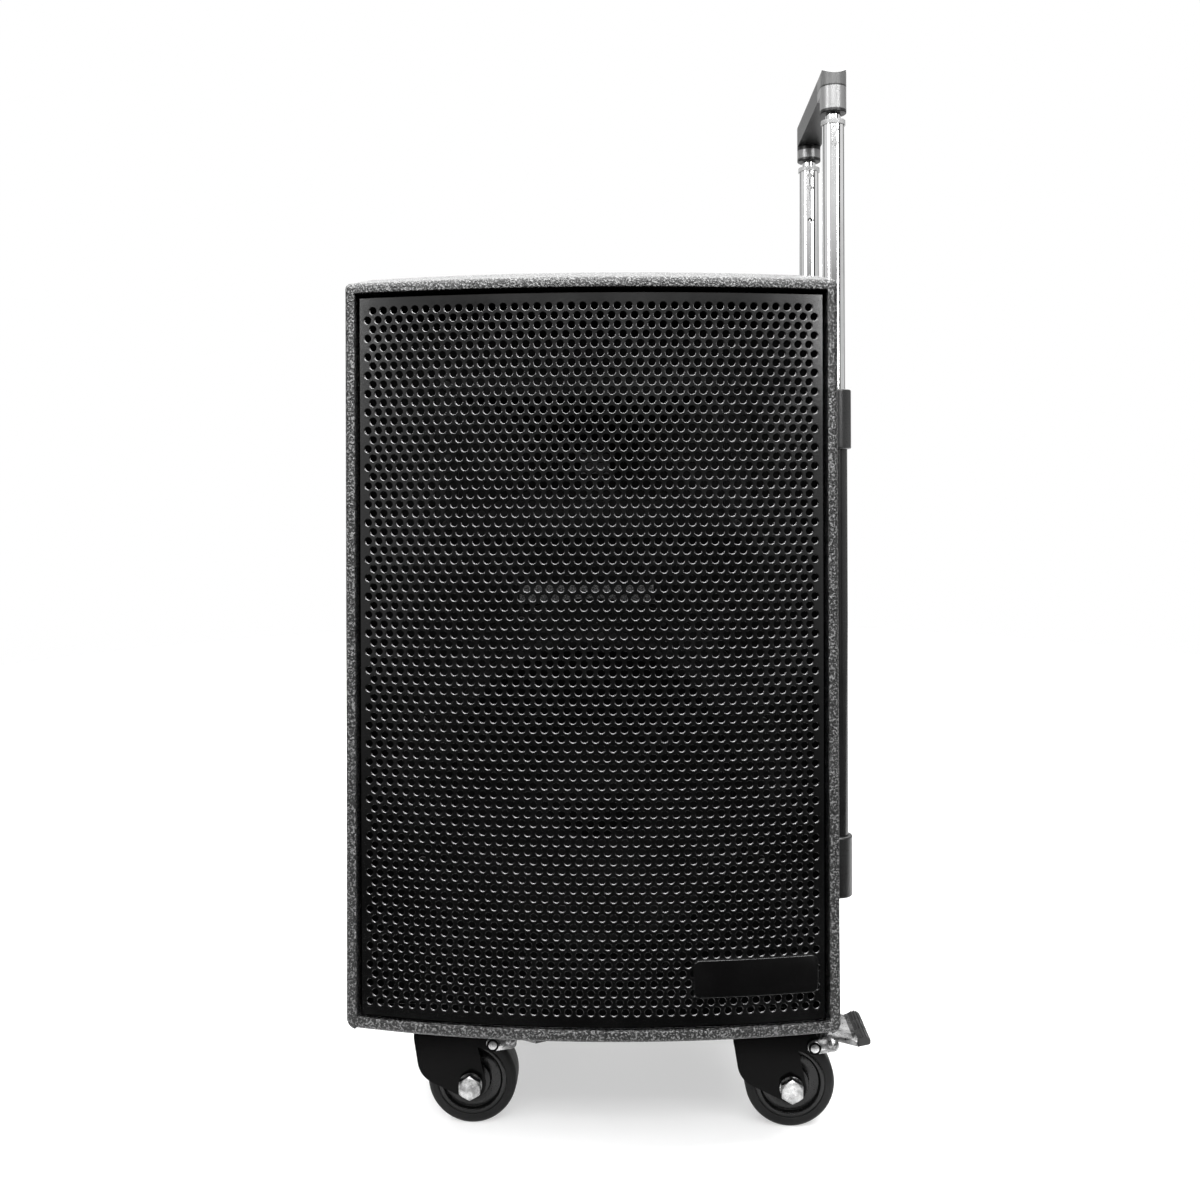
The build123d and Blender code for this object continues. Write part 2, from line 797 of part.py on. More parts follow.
with BuildPart() as amplifier_panel:
    flange_x = amp_width / 2 + amp_flange_width
    flange_z = amp_height / 2 + amp_flange_width
    box_between(
        (-flange_x, cabinet_depth, amp_z - flange_z),
        (flange_x, panel_back_y, amp_z + flange_z),
    )
    fillet(amplifier_panel.edges().filter_by(Axis.Y), 6)
    box_between(
        (-amp_width / 2, panel_inner_y, amp_z - amp_height / 2),
        (amp_width / 2, cabinet_depth, amp_z + amp_height / 2),
    )
    well_x = amp_width / 2 - amp_sheet
    well_z = amp_height / 2 - amp_sheet
    box_between(
        (-well_x, panel_floor_y, amp_z - well_z),
        (well_x, rearmost_y + 1, amp_z + well_z),
        mode=Mode.SUBTRACT,
    )
    with Locations(*[back_plane(x, panel_floor_y, z) for x, z in shaft_spots]):
        Cylinder(shaft_radius + running_gap, 4 * amp_sheet, mode=Mode.SUBTRACT)
    with Locations(*[back_plane(x, panel_floor_y, z) for x, z in buttons_at.values()]):
        Cylinder(button_radius + running_gap, 4 * amp_sheet, mode=Mode.SUBTRACT)
    with Locations(*[back_plane(x, panel_floor_y, z) for x, z in mic_jacks_at]):
        Cylinder(5 + seat_gap, 4 * amp_sheet, mode=Mode.SUBTRACT)
    with Locations(back_plane(aux_jack_x, panel_floor_y, jack_z)):
        Cylinder(3.5 + seat_gap, 4 * amp_sheet, mode=Mode.SUBTRACT)
    with Locations(back_plane(rocker_at[0], panel_floor_y, rocker_at[1])):
        Box(
            rocker_width + 2 * running_gap,
            rocker_height + 3,
            4 * amp_sheet,
            mode=Mode.SUBTRACT,
        )
    with Locations(back_plane(inlet_x, panel_floor_y, jack_z)):
        Box(
            inlet_width + 2 * seat_gap,
            inlet_height + 2 * seat_gap,
            4 * amp_sheet,
            mode=Mode.SUBTRACT,
        )
    screw_holes(amp_screws, screw_length)
save(amplifier_panel, "amplifier_panel")

with BuildPart() as amplifier_board:
    circuit_z = amp_z + 5
    box_between(
        (-board_width / 2, circuit_y - board_sheet, circuit_z - board_height / 2),
        (board_width / 2, circuit_y, circuit_z + board_height / 2),
    )
    # pillars to the panel's rear face
    for side_x in (-1, 1):
        for side_z in (-1, 1):
            x = side_x * (board_width / 2 - pillar_inset)
            z = circuit_z + side_z * (board_height / 2 - pillar_inset)
            reach = pillar_size / 2
            box_between((x - reach, circuit_y, z - reach), (x + reach, panel_inner_y, z + reach))
    # potentiometer bodies behind the knobs, with room for the shafts
    for x, z in shaft_spots:
        box_between((x - 9, circuit_y, z - 9), (x + 9, panel_inner_y - 1, z + 9))
    with Locations(*[back_plane(x, panel_inner_y, z) for x, z in shaft_spots]):
        Cylinder(shaft_radius + running_gap, 2 * shaft_length, mode=Mode.SUBTRACT)
    # key switches behind the buttons
    for x, z in buttons_at.values():
        box_between((x - 5, circuit_y, z - 5), (x + 5, circuit_y + 6, z + 5))
    # output stage heat sink with fins, and the filter capacitors
    box_between((-60, circuit_y - 34, circuit_z - 40), (60, circuit_y - board_sheet, circuit_z - 34))
    for fin in range(7):
        fin_x = -54 + 18 * fin
        box_between(
            (fin_x - 1.5, circuit_y - 34, circuit_z - 34),
            (fin_x + 1.5, circuit_y - board_sheet, circuit_z - 10),
        )
    with Locations(*[back_plane(x, circuit_y - 16, circuit_z + 34) for x in (-50, -20, 10)]):
        Cylinder(11, 30)
save(amplifier_board, "amplifier_board")

with BuildPart() as display_window:
    with BuildSketch(back_plane(display_x, panel_floor_y, knob_z)):
        RectangleRounded(window_width, window_height, 3)
    extrude(amount=2)
save(display_window, "display_window")

with BuildPart() as jack_sockets:
    for x, z in mic_jacks_at:
        with Locations(back_plane(x, panel_inner_y - jack_body_depth / 2, z)):
            Box(16, 18, jack_body_depth)
        with Locations(back_plane(x, panel_floor_y - amp_sheet / 2, z)):
            Cylinder(5, amp_sheet)
        with Locations(back_plane(x, panel_floor_y + jack_nut / 2, z)):
            Cylinder(7.5, jack_nut)
        with Locations(back_plane(x, panel_floor_y + jack_nut - mic_bore_depth / 2, z)):
            Cylinder(mic_bore_radius, mic_bore_depth, mode=Mode.SUBTRACT)
    with Locations(back_plane(aux_jack_x, panel_inner_y - 7, jack_z)):
        Box(10, 12, 14)
    with Locations(back_plane(aux_jack_x, panel_floor_y - amp_sheet / 2, jack_z)):
        Cylinder(3.5, amp_sheet)
    with Locations(back_plane(aux_jack_x, panel_floor_y + 1, jack_z)):
        Cylinder(5, 2)
    with Locations(back_plane(aux_jack_x, panel_floor_y - 4, jack_z)):
        Cylinder(1.8, 12, mode=Mode.SUBTRACT)
save(jack_sockets, "jack_sockets")

with BuildPart() as mains_inlet:
    inlet_z = jack_z
    with BuildSketch(back_plane(inlet_x, panel_floor_y, inlet_z)):
        RectangleRounded(inlet_width + 12, inlet_height + 8, 4)
    extrude(amount=3)
    box_between(
        (inlet_x - inlet_width / 2, panel_floor_y - inlet_depth, inlet_z - inlet_height / 2),
        (inlet_x + inlet_width / 2, panel_floor_y, inlet_z + inlet_height / 2),
    )
    cavity_x = inlet_width / 2 - 1.5
    cavity_z = inlet_height / 2 - 1.8
    cavity_y = panel_floor_y + 3 - inlet_cavity_depth
    box_between(
        (inlet_x - cavity_x, cavity_y, inlet_z - cavity_z),
        (inlet_x + cavity_x, rearmost_y, inlet_z + cavity_z),
        mode=Mode.SUBTRACT,
    )
    for dx, dz in ((-7, -2), (7, -2), (0, 2)):
        box_between(
            (inlet_x + dx - 1, cavity_y - 2, inlet_z + dz - 2),
            (inlet_x + dx + 1, cavity_y + inlet_pin_length, inlet_z + dz + 2),
        )
save(mains_inlet, "mains_inlet")


def knob(x, z, radius, height):
    """Turned knob with a skirt, grip flats, a pointer line and its shaft."""
    foot_y = panel_floor_y + running_gap
    with BuildPart() as turned:
        with BuildSketch(back_plane(x, foot_y, z)):
            Circle(radius)
        extrude(amount=height, taper=4)
        fillet(turned.faces().sort_by(Axis.Y)[-1].edges(), radius * 0.1)
        with BuildSketch(back_plane(x, foot_y, z)):
            with PolarLocations(radius * 1.02, 18):
                Circle(radius * 0.07)
        extrude(amount=height * 0.8, mode=Mode.SUBTRACT)
        pointer_low = foot_y + height - 0.8
        box_between(
            (x - 0.8, pointer_low, z + radius * 0.3),
            (x + 0.8, pointer_low + 2, z + radius),
            mode=Mode.SUBTRACT,
        )
        with BuildSketch(back_plane(x, foot_y, z)):
            Circle(shaft_radius)
        extrude(amount=-shaft_length)
    return turned


for name, (x, z) in small_knobs_at.items():
    save(knob(x, z, small_knob_radius, small_knob_height), name)
save(knob(*master_knob_at, master_knob_radius, master_knob_height), "master_knob")

for name, (x, z) in buttons_at.items():
    with BuildPart() as push_button:
        with BuildSketch(back_plane(x, panel_floor_y + button_proud, z)):
            Circle(button_radius)
        extrude(amount=-button_proud - amp_sheet - running_gap)
        fillet(push_button.faces().sort_by(Axis.Y)[-1].edges(), 1)
        # flange that keeps the button behind the panel
        with BuildSketch(back_plane(x, panel_inner_y - running_gap, z)):
            Circle(button_radius + 1.5)
        extrude(amount=-1.5)
    save(push_button, name)

with BuildPart() as power_rocker:
    rocker_half = rocker_height / 2
    rocker_plane = Plane(
        origin=(rocker_at[0] - rocker_width / 2, panel_floor_y, rocker_at[1]),
        x_dir=(0, 1, 0),
        z_dir=(1, 0, 0),
    )
    with BuildSketch(rocker_plane):
        with BuildLine():
            Polyline((-2, -rocker_half), (4.2, -rocker_half), (2.6, 0), (4.2, rocker_half))
            Polyline((4.2, rocker_half), (-2, rocker_half), (-7, 5), (-7, -5), (-2, -rocker_half))
        make_face()
    extrude(amount=rocker_width)
    # bore for the pivot pin, on the tilt axis
    with Locations(Plane(origin=(rocker_at[0], panel_floor_y, rocker_at[1]), z_dir=(1, 0, 0))):
        Cylinder(rocker_pivot_radius, 2 * rocker_width, mode=Mode.SUBTRACT)
rocker_axis = Axis((0, panel_floor_y, rocker_at[1]), (1, 0, 0))
power_rocker.part = power_rocker.part.rotate(rocker_axis, rocker_tilt)
save(power_rocker, "power_rocker")

# ======================================================================
# Inside the cabinet and under it
# ======================================================================

with BuildPart() as port_tube:
    with BuildSketch(back_plane(port_x, panel_back_y, port_z)):
        Circle(port_radius + 14)
    extrude(amount=-amp_sheet)
    with BuildSketch(back_plane(port_x, cabinet_depth, port_z)):
        Circle(port_radius + port_wall)
    extrude(amount=-port_length)
    with BuildSketch(back_plane(port_x, panel_back_y, port_z)):
        Circle(port_radius)
    extrude(amount=-port_length - 2 * amp_sheet, mode=Mode.SUBTRACT)
    mouth_edge = port_tube.edges().filter_by(GeomType.CIRCLE).group_by(Axis.Y)[-1]
    fillet(mouth_edge.sort_by(SortBy.RADIUS)[0], 2)
save(port_tube, "port_tube")

with BuildPart() as battery:
    length, depth, height = battery_size
    low_x = battery_margin[0] - inner_half
    low_y = back_inner_y - battery_margin[1] - depth
    box_between((low_x, low_y, room_floor), (low_x + length, low_y + depth, room_floor + height))
    fillet(battery.edges().filter_by(Axis.Z), 3)
    for x in (low_x + 14, low_x + length - 14):
        box_between(
            (x - 3, low_y + 8, room_floor + height),
            (x + 3, low_y + 14, room_floor + height + 6),
        )
save(battery, "battery")

with BuildPart() as transformer:
    length, depth, height = transformer_size
    mid_x = transformer_x
    mid_y = back_inner_y - transformer_margin - depth / 2
    box_between(
        (mid_x - length / 2, mid_y - depth / 2 + 10, room_floor),
        (mid_x + length / 2, mid_y + depth / 2 - 10, room_floor + height),
    )
    box_between(
        (mid_x - length / 2 + 12, mid_y - depth / 2, room_floor + 10),
        (mid_x + length / 2 - 12, mid_y + depth / 2, room_floor + height - 10),
    )
    box_between(
        (mid_x - length / 2 - 12, mid_y - 8, room_floor),
        (mid_x + length / 2 + 12, mid_y + 8, room_floor + 2),
    )
save(transformer, "transformer")

with BuildPart() as crossover_board:
    mid_y = crossover_y
    mid_z = z_bottom + crossover_above_bottom
    length, height = crossover_size
    wall_x = -inner_half
    box_between(
        (wall_x + 6, mid_y - length / 2, mid_z - height / 2),
        (wall_x + 6 + board_sheet, mid_y + length / 2, mid_z + height / 2),
    )
    for dy in (-1, 1):
        for dz in (-1, 1):
            y = mid_y + dy * (length / 2 - 6)
            z = mid_z + dz * (height / 2 - 6)
            box_between((wall_x, y - 3, z - 3), (wall_x + 6, y + 3, z + 3))
    component_x = wall_x + 6 + board_sheet
    coil_plane = Plane(origin=(component_x, mid_y - 28, mid_z), z_dir=(1, 0, 0))
    with BuildSketch(coil_plane):
        Circle(18)
    extrude(amount=16)
    for y in (mid_y + 10, mid_y + 34):
        box_between((component_x, y - 8, mid_z - 20), (component_x + 14, y + 8, mid_z + 20))
save(crossover_board, "crossover_board")

with BuildPart() as pole_socket:
    with BuildSketch(Plane.XY.offset(z_bottom - pole_flange)):
        with Locations((0, pole_y)):
            Circle(pole_flange_radius)
    extrude(amount=pole_flange)
    with BuildSketch(Plane.XY.offset(z_bottom)):
        with Locations((0, pole_y)):
            Circle(pole_radius + pole_wall)
    extrude(amount=pole_depth - pole_flange + pole_wall)
    with BuildSketch(Plane.XY.offset(z_bottom - pole_flange)):
        with Locations((0, pole_y)):
            Circle(pole_radius)
    extrude(amount=pole_depth, mode=Mode.SUBTRACT)
    screw_holes(pole_screws, screw_length)
save(pole_socket, "pole_socket")

# ======================================================================
# Screws: pan heads that stand on what they hold, shanks in their holes
# ======================================================================


def screw_group(planes):
    """Identical screws, one on each plane, as separate solids."""
    with BuildPart() as group:
        with Locations(*planes):
            Cylinder(
                screw_head_radius,
                screw_head_height,
                align=(Align.CENTER, Align.CENTER, Align.MIN),
            )
            Cylinder(
                screw_radius,
                screw_length,
                align=(Align.CENTER, Align.CENTER, Align.MAX),
            )
        chamfer(
            group.edges().filter_by(
                lambda edge: edge.geom_type == GeomType.CIRCLE
                and abs(edge.radius - screw_head_radius) < 0.01
            ),
            0.5,
        )
    return group


save(screw_group(woofer_screws + horn_screws), "driver_screws")
save(screw_group(pole_screws + caster_screws + bracket_screws + amp_screws), "cabinet_screws")

# ======================================================================
# Pull handle
# ======================================================================


def handle_bracket(low_z, high_z, blind):
    """Side bracket: a plate on the wall and a rounded nose round each outer tube."""
    with BuildPart() as bracket:
        with BuildSketch(Plane.XY.offset(low_z)):
            for y in tube_ys:
                with Locations((handle_x, y)):
                    Circle(bracket_nose_radius)
                with Locations(((half_width + handle_x) / 2, y)):
                    Rectangle(handle_stand_off, 2 * bracket_nose_radius)
            with Locations((half_width + bracket_plate / 2, handle_mid_y)):
                Rectangle(bracket_plate, tube_spacing)
        extrude(amount=high_z - low_z)
        # the noses stop at the wall
        box_between(
            (0, 0, low_z),
            (half_width, cabinet_depth, high_z),
            mode=Mode.SUBTRACT,
        )
        for end in (-1, 0):
            rim = bracket.faces().filter_by(Axis.Z).sort_by(Axis.Z)[end]
            free_edges = rim.edges().filter_by(lambda edge: (edge @ 0.5).X > half_width + 1)
            fillet(free_edges, bracket_edge_radius)
        with Locations(*[(handle_x, y, outer_tube_bottom) for y in tube_ys]):
            Cylinder(
                outer_tube_radius + seat_gap,
                outer_tube_top - outer_tube_bottom,
                align=(Align.CENTER, Align.CENTER, Align.MIN),
                mode=Mode.SUBTRACT,
            )
            if not blind:
                Cylinder(
                    outer_tube_bore,
                    2 * z_top,
                    align=(Align.CENTER, Align.CENTER, Align.MIN),
                    mode=Mode.SUBTRACT,
                )
        screw_holes(bracket_screws, screw_length)
    return bracket


save(handle_bracket(upper_bracket_z, upper_bracket_top, blind=False), "upper_bracket")
save(handle_bracket(lower_bracket_z, lower_bracket_top, blind=True), "lower_bracket")


def tube_pair(radius, wall, low_z, high_z):
    """Two parallel round tubes at the handle's spacing."""
    with BuildPart() as pair:
        with BuildSketch(Plane.XY.offset(low_z)):
            with Locations(*[(handle_x, y) for y in tube_ys]):
                Circle(radius)
                Circle(radius - wall, mode=Mode.SUBTRACT)
        extrude(amount=high_z - low_z)
    return pair


outer_pair = tube_pair(outer_tube_radius, outer_tube_wall, outer_tube_bottom, outer_tube_top)
save(outer_pair, "outer_tubes")

pin_places = []
for y in tube_ys:
    for drop in pin_drops:
        pin_y = y - stage_1_radius + pin_setback
        pin_places.append(front_plane(handle_x, pin_y, stage_1_top - drop))

stage_1_pair = tube_pair(stage_1_radius, stage_1_wall, stage_1_bottom, stage_1_top - collar_height)
with BuildPart() as stage_1_tubes:
    add(stage_1_pair.part)
    for y in tube_ys:
        # narrow guide groove down the front of each tube
        front = y - stage_1_radius
        box_between(
            (handle_x - groove_width / 2, front - 1, stage_1_bottom - 1),
            (handle_x + groove_width / 2, front + groove_depth, stage_1_top - 1.6 * pin_drops[1]),
            mode=Mode.SUBTRACT,
        )
    with Locations(*pin_places):
        Cylinder(pin_radius + seat_gap, 3 * stage_1_wall, mode=Mode.SUBTRACT)
    far_front = tube_ys[1] - stage_1_radius
    with Locations(front_plane(handle_x, far_front, stage_1_top - lock_hole_drop)):
        Cylinder(lock_hole_radius, 4 * stage_1_wall, mode=Mode.SUBTRACT)
save(stage_1_tubes, "stage_1_tubes")

# guide bushes in the mouths of the middle tubes, each with a collar on top
with BuildPart() as stage_1_collars:
    for y in tube_ys:
        with Locations((handle_x, y, stage_1_top)):
            Cylinder(
                stage_1_radius + collar_lip,
                collar_height,
                align=(Align.CENTER, Align.CENTER, Align.MAX),
            )
            Cylinder(
                stage_1_bore - seat_gap,
                guide_depth,
                align=(Align.CENTER, Align.CENTER, Align.MAX),
            )
            Cylinder(
                stage_2_radius + running_gap,
                3 * guide_depth,
                mode=Mode.SUBTRACT,
            )
    with Locations(*pin_places):
        Cylinder(pin_stem_radius + seat_gap, 2 * stage_1_wall + 4 * pin_stem_depth, mode=Mode.SUBTRACT)
save(stage_1_collars, "stage_1_collars")

with BuildPart() as stage_1_rivets:
    with Locations(*pin_places):
        Cylinder(
            pin_radius,
            stage_1_wall - pin_setback,
            align=(Align.CENTER, Align.CENTER, Align.MAX),
        )
        Cylinder(
            pin_stem_radius,
            stage_1_wall + pin_stem_depth - pin_setback,
            align=(Align.CENTER, Align.CENTER, Align.MAX),
        )
save(stage_1_rivets, "stage_1_rivets")

stage_2_pair = tube_pair(stage_2_radius, stage_2_wall, stage_2_bottom, stage_2_top)
with BuildPart() as stage_2_tubes:
    add(stage_2_pair.part)
    # swaged glides at the lower ends, which run in the middle tubes
    with Locations(*[(handle_x, y, stage_2_bottom) for y in tube_ys]):
        Cylinder(
            stage_1_bore - running_gap,
            glide_height,
            align=(Align.CENTER, Align.CENTER, Align.MIN),
        )
save(stage_2_tubes, "stage_2_tubes")

grip_low_y = handle_mid_y - grip_half_length
grip_high_y = handle_mid_y + grip_half_length


def grip_plan(z):
    """Stadium outline of the grip at height z."""
    with BuildSketch(Plane.XY.offset(z)) as plan:
        with Locations((handle_x, handle_mid_y)):
            SlotOverall(2 * grip_half_length, grip_width, rotation=90)
    return plan.sketch


with BuildPart() as grip_lower_shell:
    add(grip_plan(grip_bar_bottom))
    extrude(amount=grip_seam - grip_bar_bottom)
    with BuildSketch(Plane.XY.offset(grip_bottom)):
        with Locations(*[(handle_x, y) for y in tube_ys]):
            Circle(grip_width / 2)
    extrude(amount=grip_seam - grip_bottom)
    with Locations(*[(handle_x, y, grip_bottom - 1) for y in tube_ys]):
        Cylinder(
            stage_2_radius + seat_gap,
            stage_2_top - grip_bottom + 1,
            align=(Align.CENTER, Align.CENTER, Align.MIN),
            mode=Mode.SUBTRACT,
        )
    low_circles = grip_lower_shell.edges().filter_by(GeomType.CIRCLE).group_by(Axis.Z)[0]
    fillet(low_circles.sort_by(SortBy.RADIUS)[-2:], 1)
save(grip_lower_shell, "grip_lower_shell")

release_floor = grip_top + release_proud - release_height - release_travel - 1
with BuildPart() as grip_upper_shell:
    add(grip_plan(grip_seam))
    extrude(amount=grip_top - grip_seam)
    # the crown: a half-round section that also comes down at both ends
    crown_x = grip_width / 2
    low_end = grip_top - grip_end_drop
    with BuildSketch(Plane.YZ.offset(handle_x - grip_width)):
        with BuildLine():
            Polyline(
                (grip_low_y - 1, low_end),
                (grip_low_y - 1, grip_seam - 1),
                (grip_high_y + 1, grip_seam - 1),
                (grip_high_y + 1, low_end),
            )
            rise_y = grip_low_y + grip_end_run
            fall_y = grip_high_y - grip_end_run
            ThreePointArc(
                (grip_low_y - 1, low_end),
                (grip_low_y + grip_end_run * 0.38, grip_top - grip_end_drop * 0.33),
                (rise_y, grip_top),
            )
            Line((rise_y, grip_top), (fall_y, grip_top))
            ThreePointArc(
                (fall_y, grip_top),
                (grip_high_y - grip_end_run * 0.38, grip_top - grip_end_drop * 0.33),
                (grip_high_y + 1, low_end),
            )
        make_face()
    extrude(amount=2 * grip_width, mode=Mode.INTERSECT)
    with BuildSketch(Plane.XZ.offset(-grip_low_y + 1)):
        with BuildLine():
            shoulder = grip_seam + 9
            Polyline(
                (handle_x - crown_x - 0.01, shoulder),
                (handle_x - crown_x - 0.01, grip_seam - 1),
                (handle_x + crown_x + 0.01, grip_seam - 1),
                (handle_x + crown_x + 0.01, shoulder),
            )
            ThreePointArc(
                (handle_x + crown_x + 0.01, shoulder),
                (handle_x, grip_top),
                (handle_x - crown_x - 0.01, shoulder),
            )
        make_face()
    extrude(amount=-4 * grip_half_length, mode=Mode.INTERSECT)
    with Locations((handle_x, handle_mid_y, release_floor)):
        Box(
            release_width + 2 * running_gap,
            release_length + 2 * running_gap,
            4 * release_height,
            align=(Align.CENTER, Align.CENTER, Align.MIN),
            mode=Mode.SUBTRACT,
        )
save(grip_upper_shell, "grip_upper_shell")

with BuildPart() as release_button:
    with BuildSketch(Plane.XY.offset(grip_top + release_proud)):
        with Locations((handle_x, handle_mid_y)):
            RectangleRounded(release_width, release_length, 3)
    extrude(amount=-release_height)
    fillet(release_button.faces().sort_by(Axis.Z)[-1].edges(), 1)
save(release_button, "release_button")

# ======================================================================
# Casters
# ======================================================================

# fixed top plates with the ball race cup and the riveted kingpin
with BuildPart() as caster_plates:
    spots = [Location((x, y, plate_bottom)) for x, y in caster_places.values()]
    with Locations(*spots):
        Box(
            plate_size,
            plate_size,
            plate_thickness,
            align=(Align.CENTER, Align.CENTER, Align.MIN),
        )
        Cylinder(
            race_radius,
            plate_bottom - race_bottom,
            align=(Align.CENTER, Align.CENTER, Align.MAX),
        )
        Cylinder(
            kingpin_radius,
            plate_bottom - kingpin_head_z,
            align=(Align.CENTER, Align.CENTER, Align.MAX),
        )
    with Locations(*[(x, y, kingpin_head_z) for x, y in caster_places.values()]):
        Cylinder(
            kingpin_head_radius,
            crown_z - running_gap - kingpin_head_z,
            align=(Align.CENTER, Align.CENTER, Align.MIN),
        )
    screw_holes(caster_screws, screw_length)
save(caster_plates, "caster_plates")


def caster_fork(x, y, with_brake):
    """Pressed fork: two teardrop legs, a crown and the lower race."""
    with BuildPart() as fork:
        for leg_y in (-fork_outer, fork_inner):
            with BuildSketch(front_plane(x, y + leg_y, 0)):
                with Locations((caster_trail, wheel_radius)):
                    Circle(axle_boss_radius)
                with Locations((fork_bulge_x, crown_z - fork_bulge_drop)):
                    Circle(fork_bulge_radius)
                with Locations(((crown_rear_reach - crown_front_reach) / 2, crown_top - 4)):
                    Rectangle(crown_rear_reach + crown_front_reach, 8)
                make_hull()
            extrude(amount=-fork_sheet)
            if with_brake:
                # lobe of the leg that carries the pedal's rivet
                with BuildSketch(front_plane(x, y + leg_y, 0)):
                    with Locations(pedal_pivot):
                        Circle(pedal_rivet_head + 2)
                    with Locations((pedal_pivot[0] / 2, crown_top - 2)):
                        Rectangle(pedal_pivot[0], 4)
                    make_hull()
                extrude(amount=-fork_sheet)
        with Locations((x + (crown_rear_reach - crown_front_reach) / 2, y, crown_z)):
            Box(
                crown_rear_reach + crown_front_reach,
                2 * fork_outer,
                crown_thickness,
                align=(Align.CENTER, Align.CENTER, Align.MIN),
            )
        with Locations((x, y, crown_top)):
            Cylinder(
                race_radius - 3,
                race_bottom - running_gap - crown_top,
                align=(Align.CENTER, Align.CENTER, Align.MIN),
            )
        with Locations((x, y, crown_z)):
            Cylinder(kingpin_radius + running_gap, 6 * board, mode=Mode.SUBTRACT)
        axle_spot = front_plane(x + caster_trail, y, wheel_radius)
        with Locations(axle_spot):
            Cylinder(axle_radius + seat_gap, 4 * fork_outer, mode=Mode.SUBTRACT)
        if with_brake:
            # stub rivets that carry the pedal's ears
            for side in (-1, 1):
                ear = fork_outer + pedal_sheet + 2 * running_gap
                rivet_x = x + pedal_pivot[0]
                with BuildSketch(front_plane(rivet_x, y + side * fork_outer, pedal_pivot[1])):
                    Circle(pedal_rivet_radius)
                extrude(amount=-side * (ear - fork_outer))
                with BuildSketch(front_plane(rivet_x, y + side * ear, pedal_pivot[1])):
                    Circle(pedal_rivet_head)
                extrude(amount=-side * pedal_rivet_head_height)
    return fork


def caster_wheel(x, y):
    """Rubber tyre and nylon hub, turned round the axle; two separate solids."""
    wheel_axis = Axis((x + caster_trail, 0, wheel_radius), (0, 1, 0))
    section = Plane(
        origin=(x + caster_trail, y, wheel_radius),
        x_dir=(0, 1, 0),
        z_dir=(1, 0, 0),
    )
    half = wheel_width / 2
    bore = axle_radius + running_gap
    tyre_inner = wheel_radius - tyre_band
    with BuildPart() as wheel:
        with BuildSketch(section):
            with BuildLine():
                Polyline(
                    (-hub_length / 2, bore),
                    (-hub_length / 2, 10),
                    (-half - 1, 11),
                    (-half - 1, 15),
                    (-half + 3.5, 16),
                    (-half + 3.5, 24),
                    (-half + 0.8, 25),
                    (-half + 0.8, tyre_inner),
                    (half - 0.8, tyre_inner),
                    (half - 0.8, 25),
                    (half - 3.5, 24),
                    (half - 3.5, 16),
                    (half + 1, 15),
                    (half + 1, 11),
                    (hub_length / 2, 10),
                    (hub_length / 2, bore),
                    close=True,
                )
            make_face()
        revolve(axis=wheel_axis)
    with BuildPart() as tyre:
        with BuildSketch(section):
            shoulder = tyre_shoulder
            with BuildLine():
                Polyline(
                    (-half + shoulder, wheel_radius),
                    (half - shoulder, wheel_radius),
                )
                ThreePointArc(
                    (half - shoulder, wheel_radius),
                    (half - shoulder * 0.3, wheel_radius - shoulder * 0.3),
                    (half, wheel_radius - shoulder),
                )
                Polyline(
                    (half, wheel_radius - shoulder),
                    (half, tyre_inner + seat_gap / 2),
                    (-half, tyre_inner + seat_gap / 2),
                    (-half, wheel_radius - shoulder),
                )
                ThreePointArc(
                    (-half, wheel_radius - shoulder),
                    (-half + shoulder * 0.3, wheel_radius - shoulder * 0.3),
                    (-half + shoulder, wheel_radius),
                )
            make_face()
        revolve(axis=wheel_axis)
    wheel.part = Compound(children=[wheel.part, tyre.part])
    return wheel


def caster_axle(x, y):
    """Hex bolt through the fork and hub, with washers and a nut."""
    end = fork_outer + washer_thickness
    with BuildPart() as axle:
        with BuildSketch(front_plane(x + caster_trail, y - fork_outer, wheel_radius)):
            Circle(axle_radius)
        extrude(amount=-2 * fork_outer)
        for side in (-1, 1):
            with BuildSketch(front_plane(x + caster_trail, y + side * fork_outer, wheel_radius)):
                Circle(axle_head_across_flats / 2 + 1)
            extrude(amount=-side * washer_thickness)
            with BuildSketch(front_plane(x + caster_trail, y + side * end, wheel_radius)):
                RegularPolygon(axle_head_across_flats / 2, 6, major_radius=False, rotation=30)
            extrude(amount=-side * axle_head_height)
    return axle


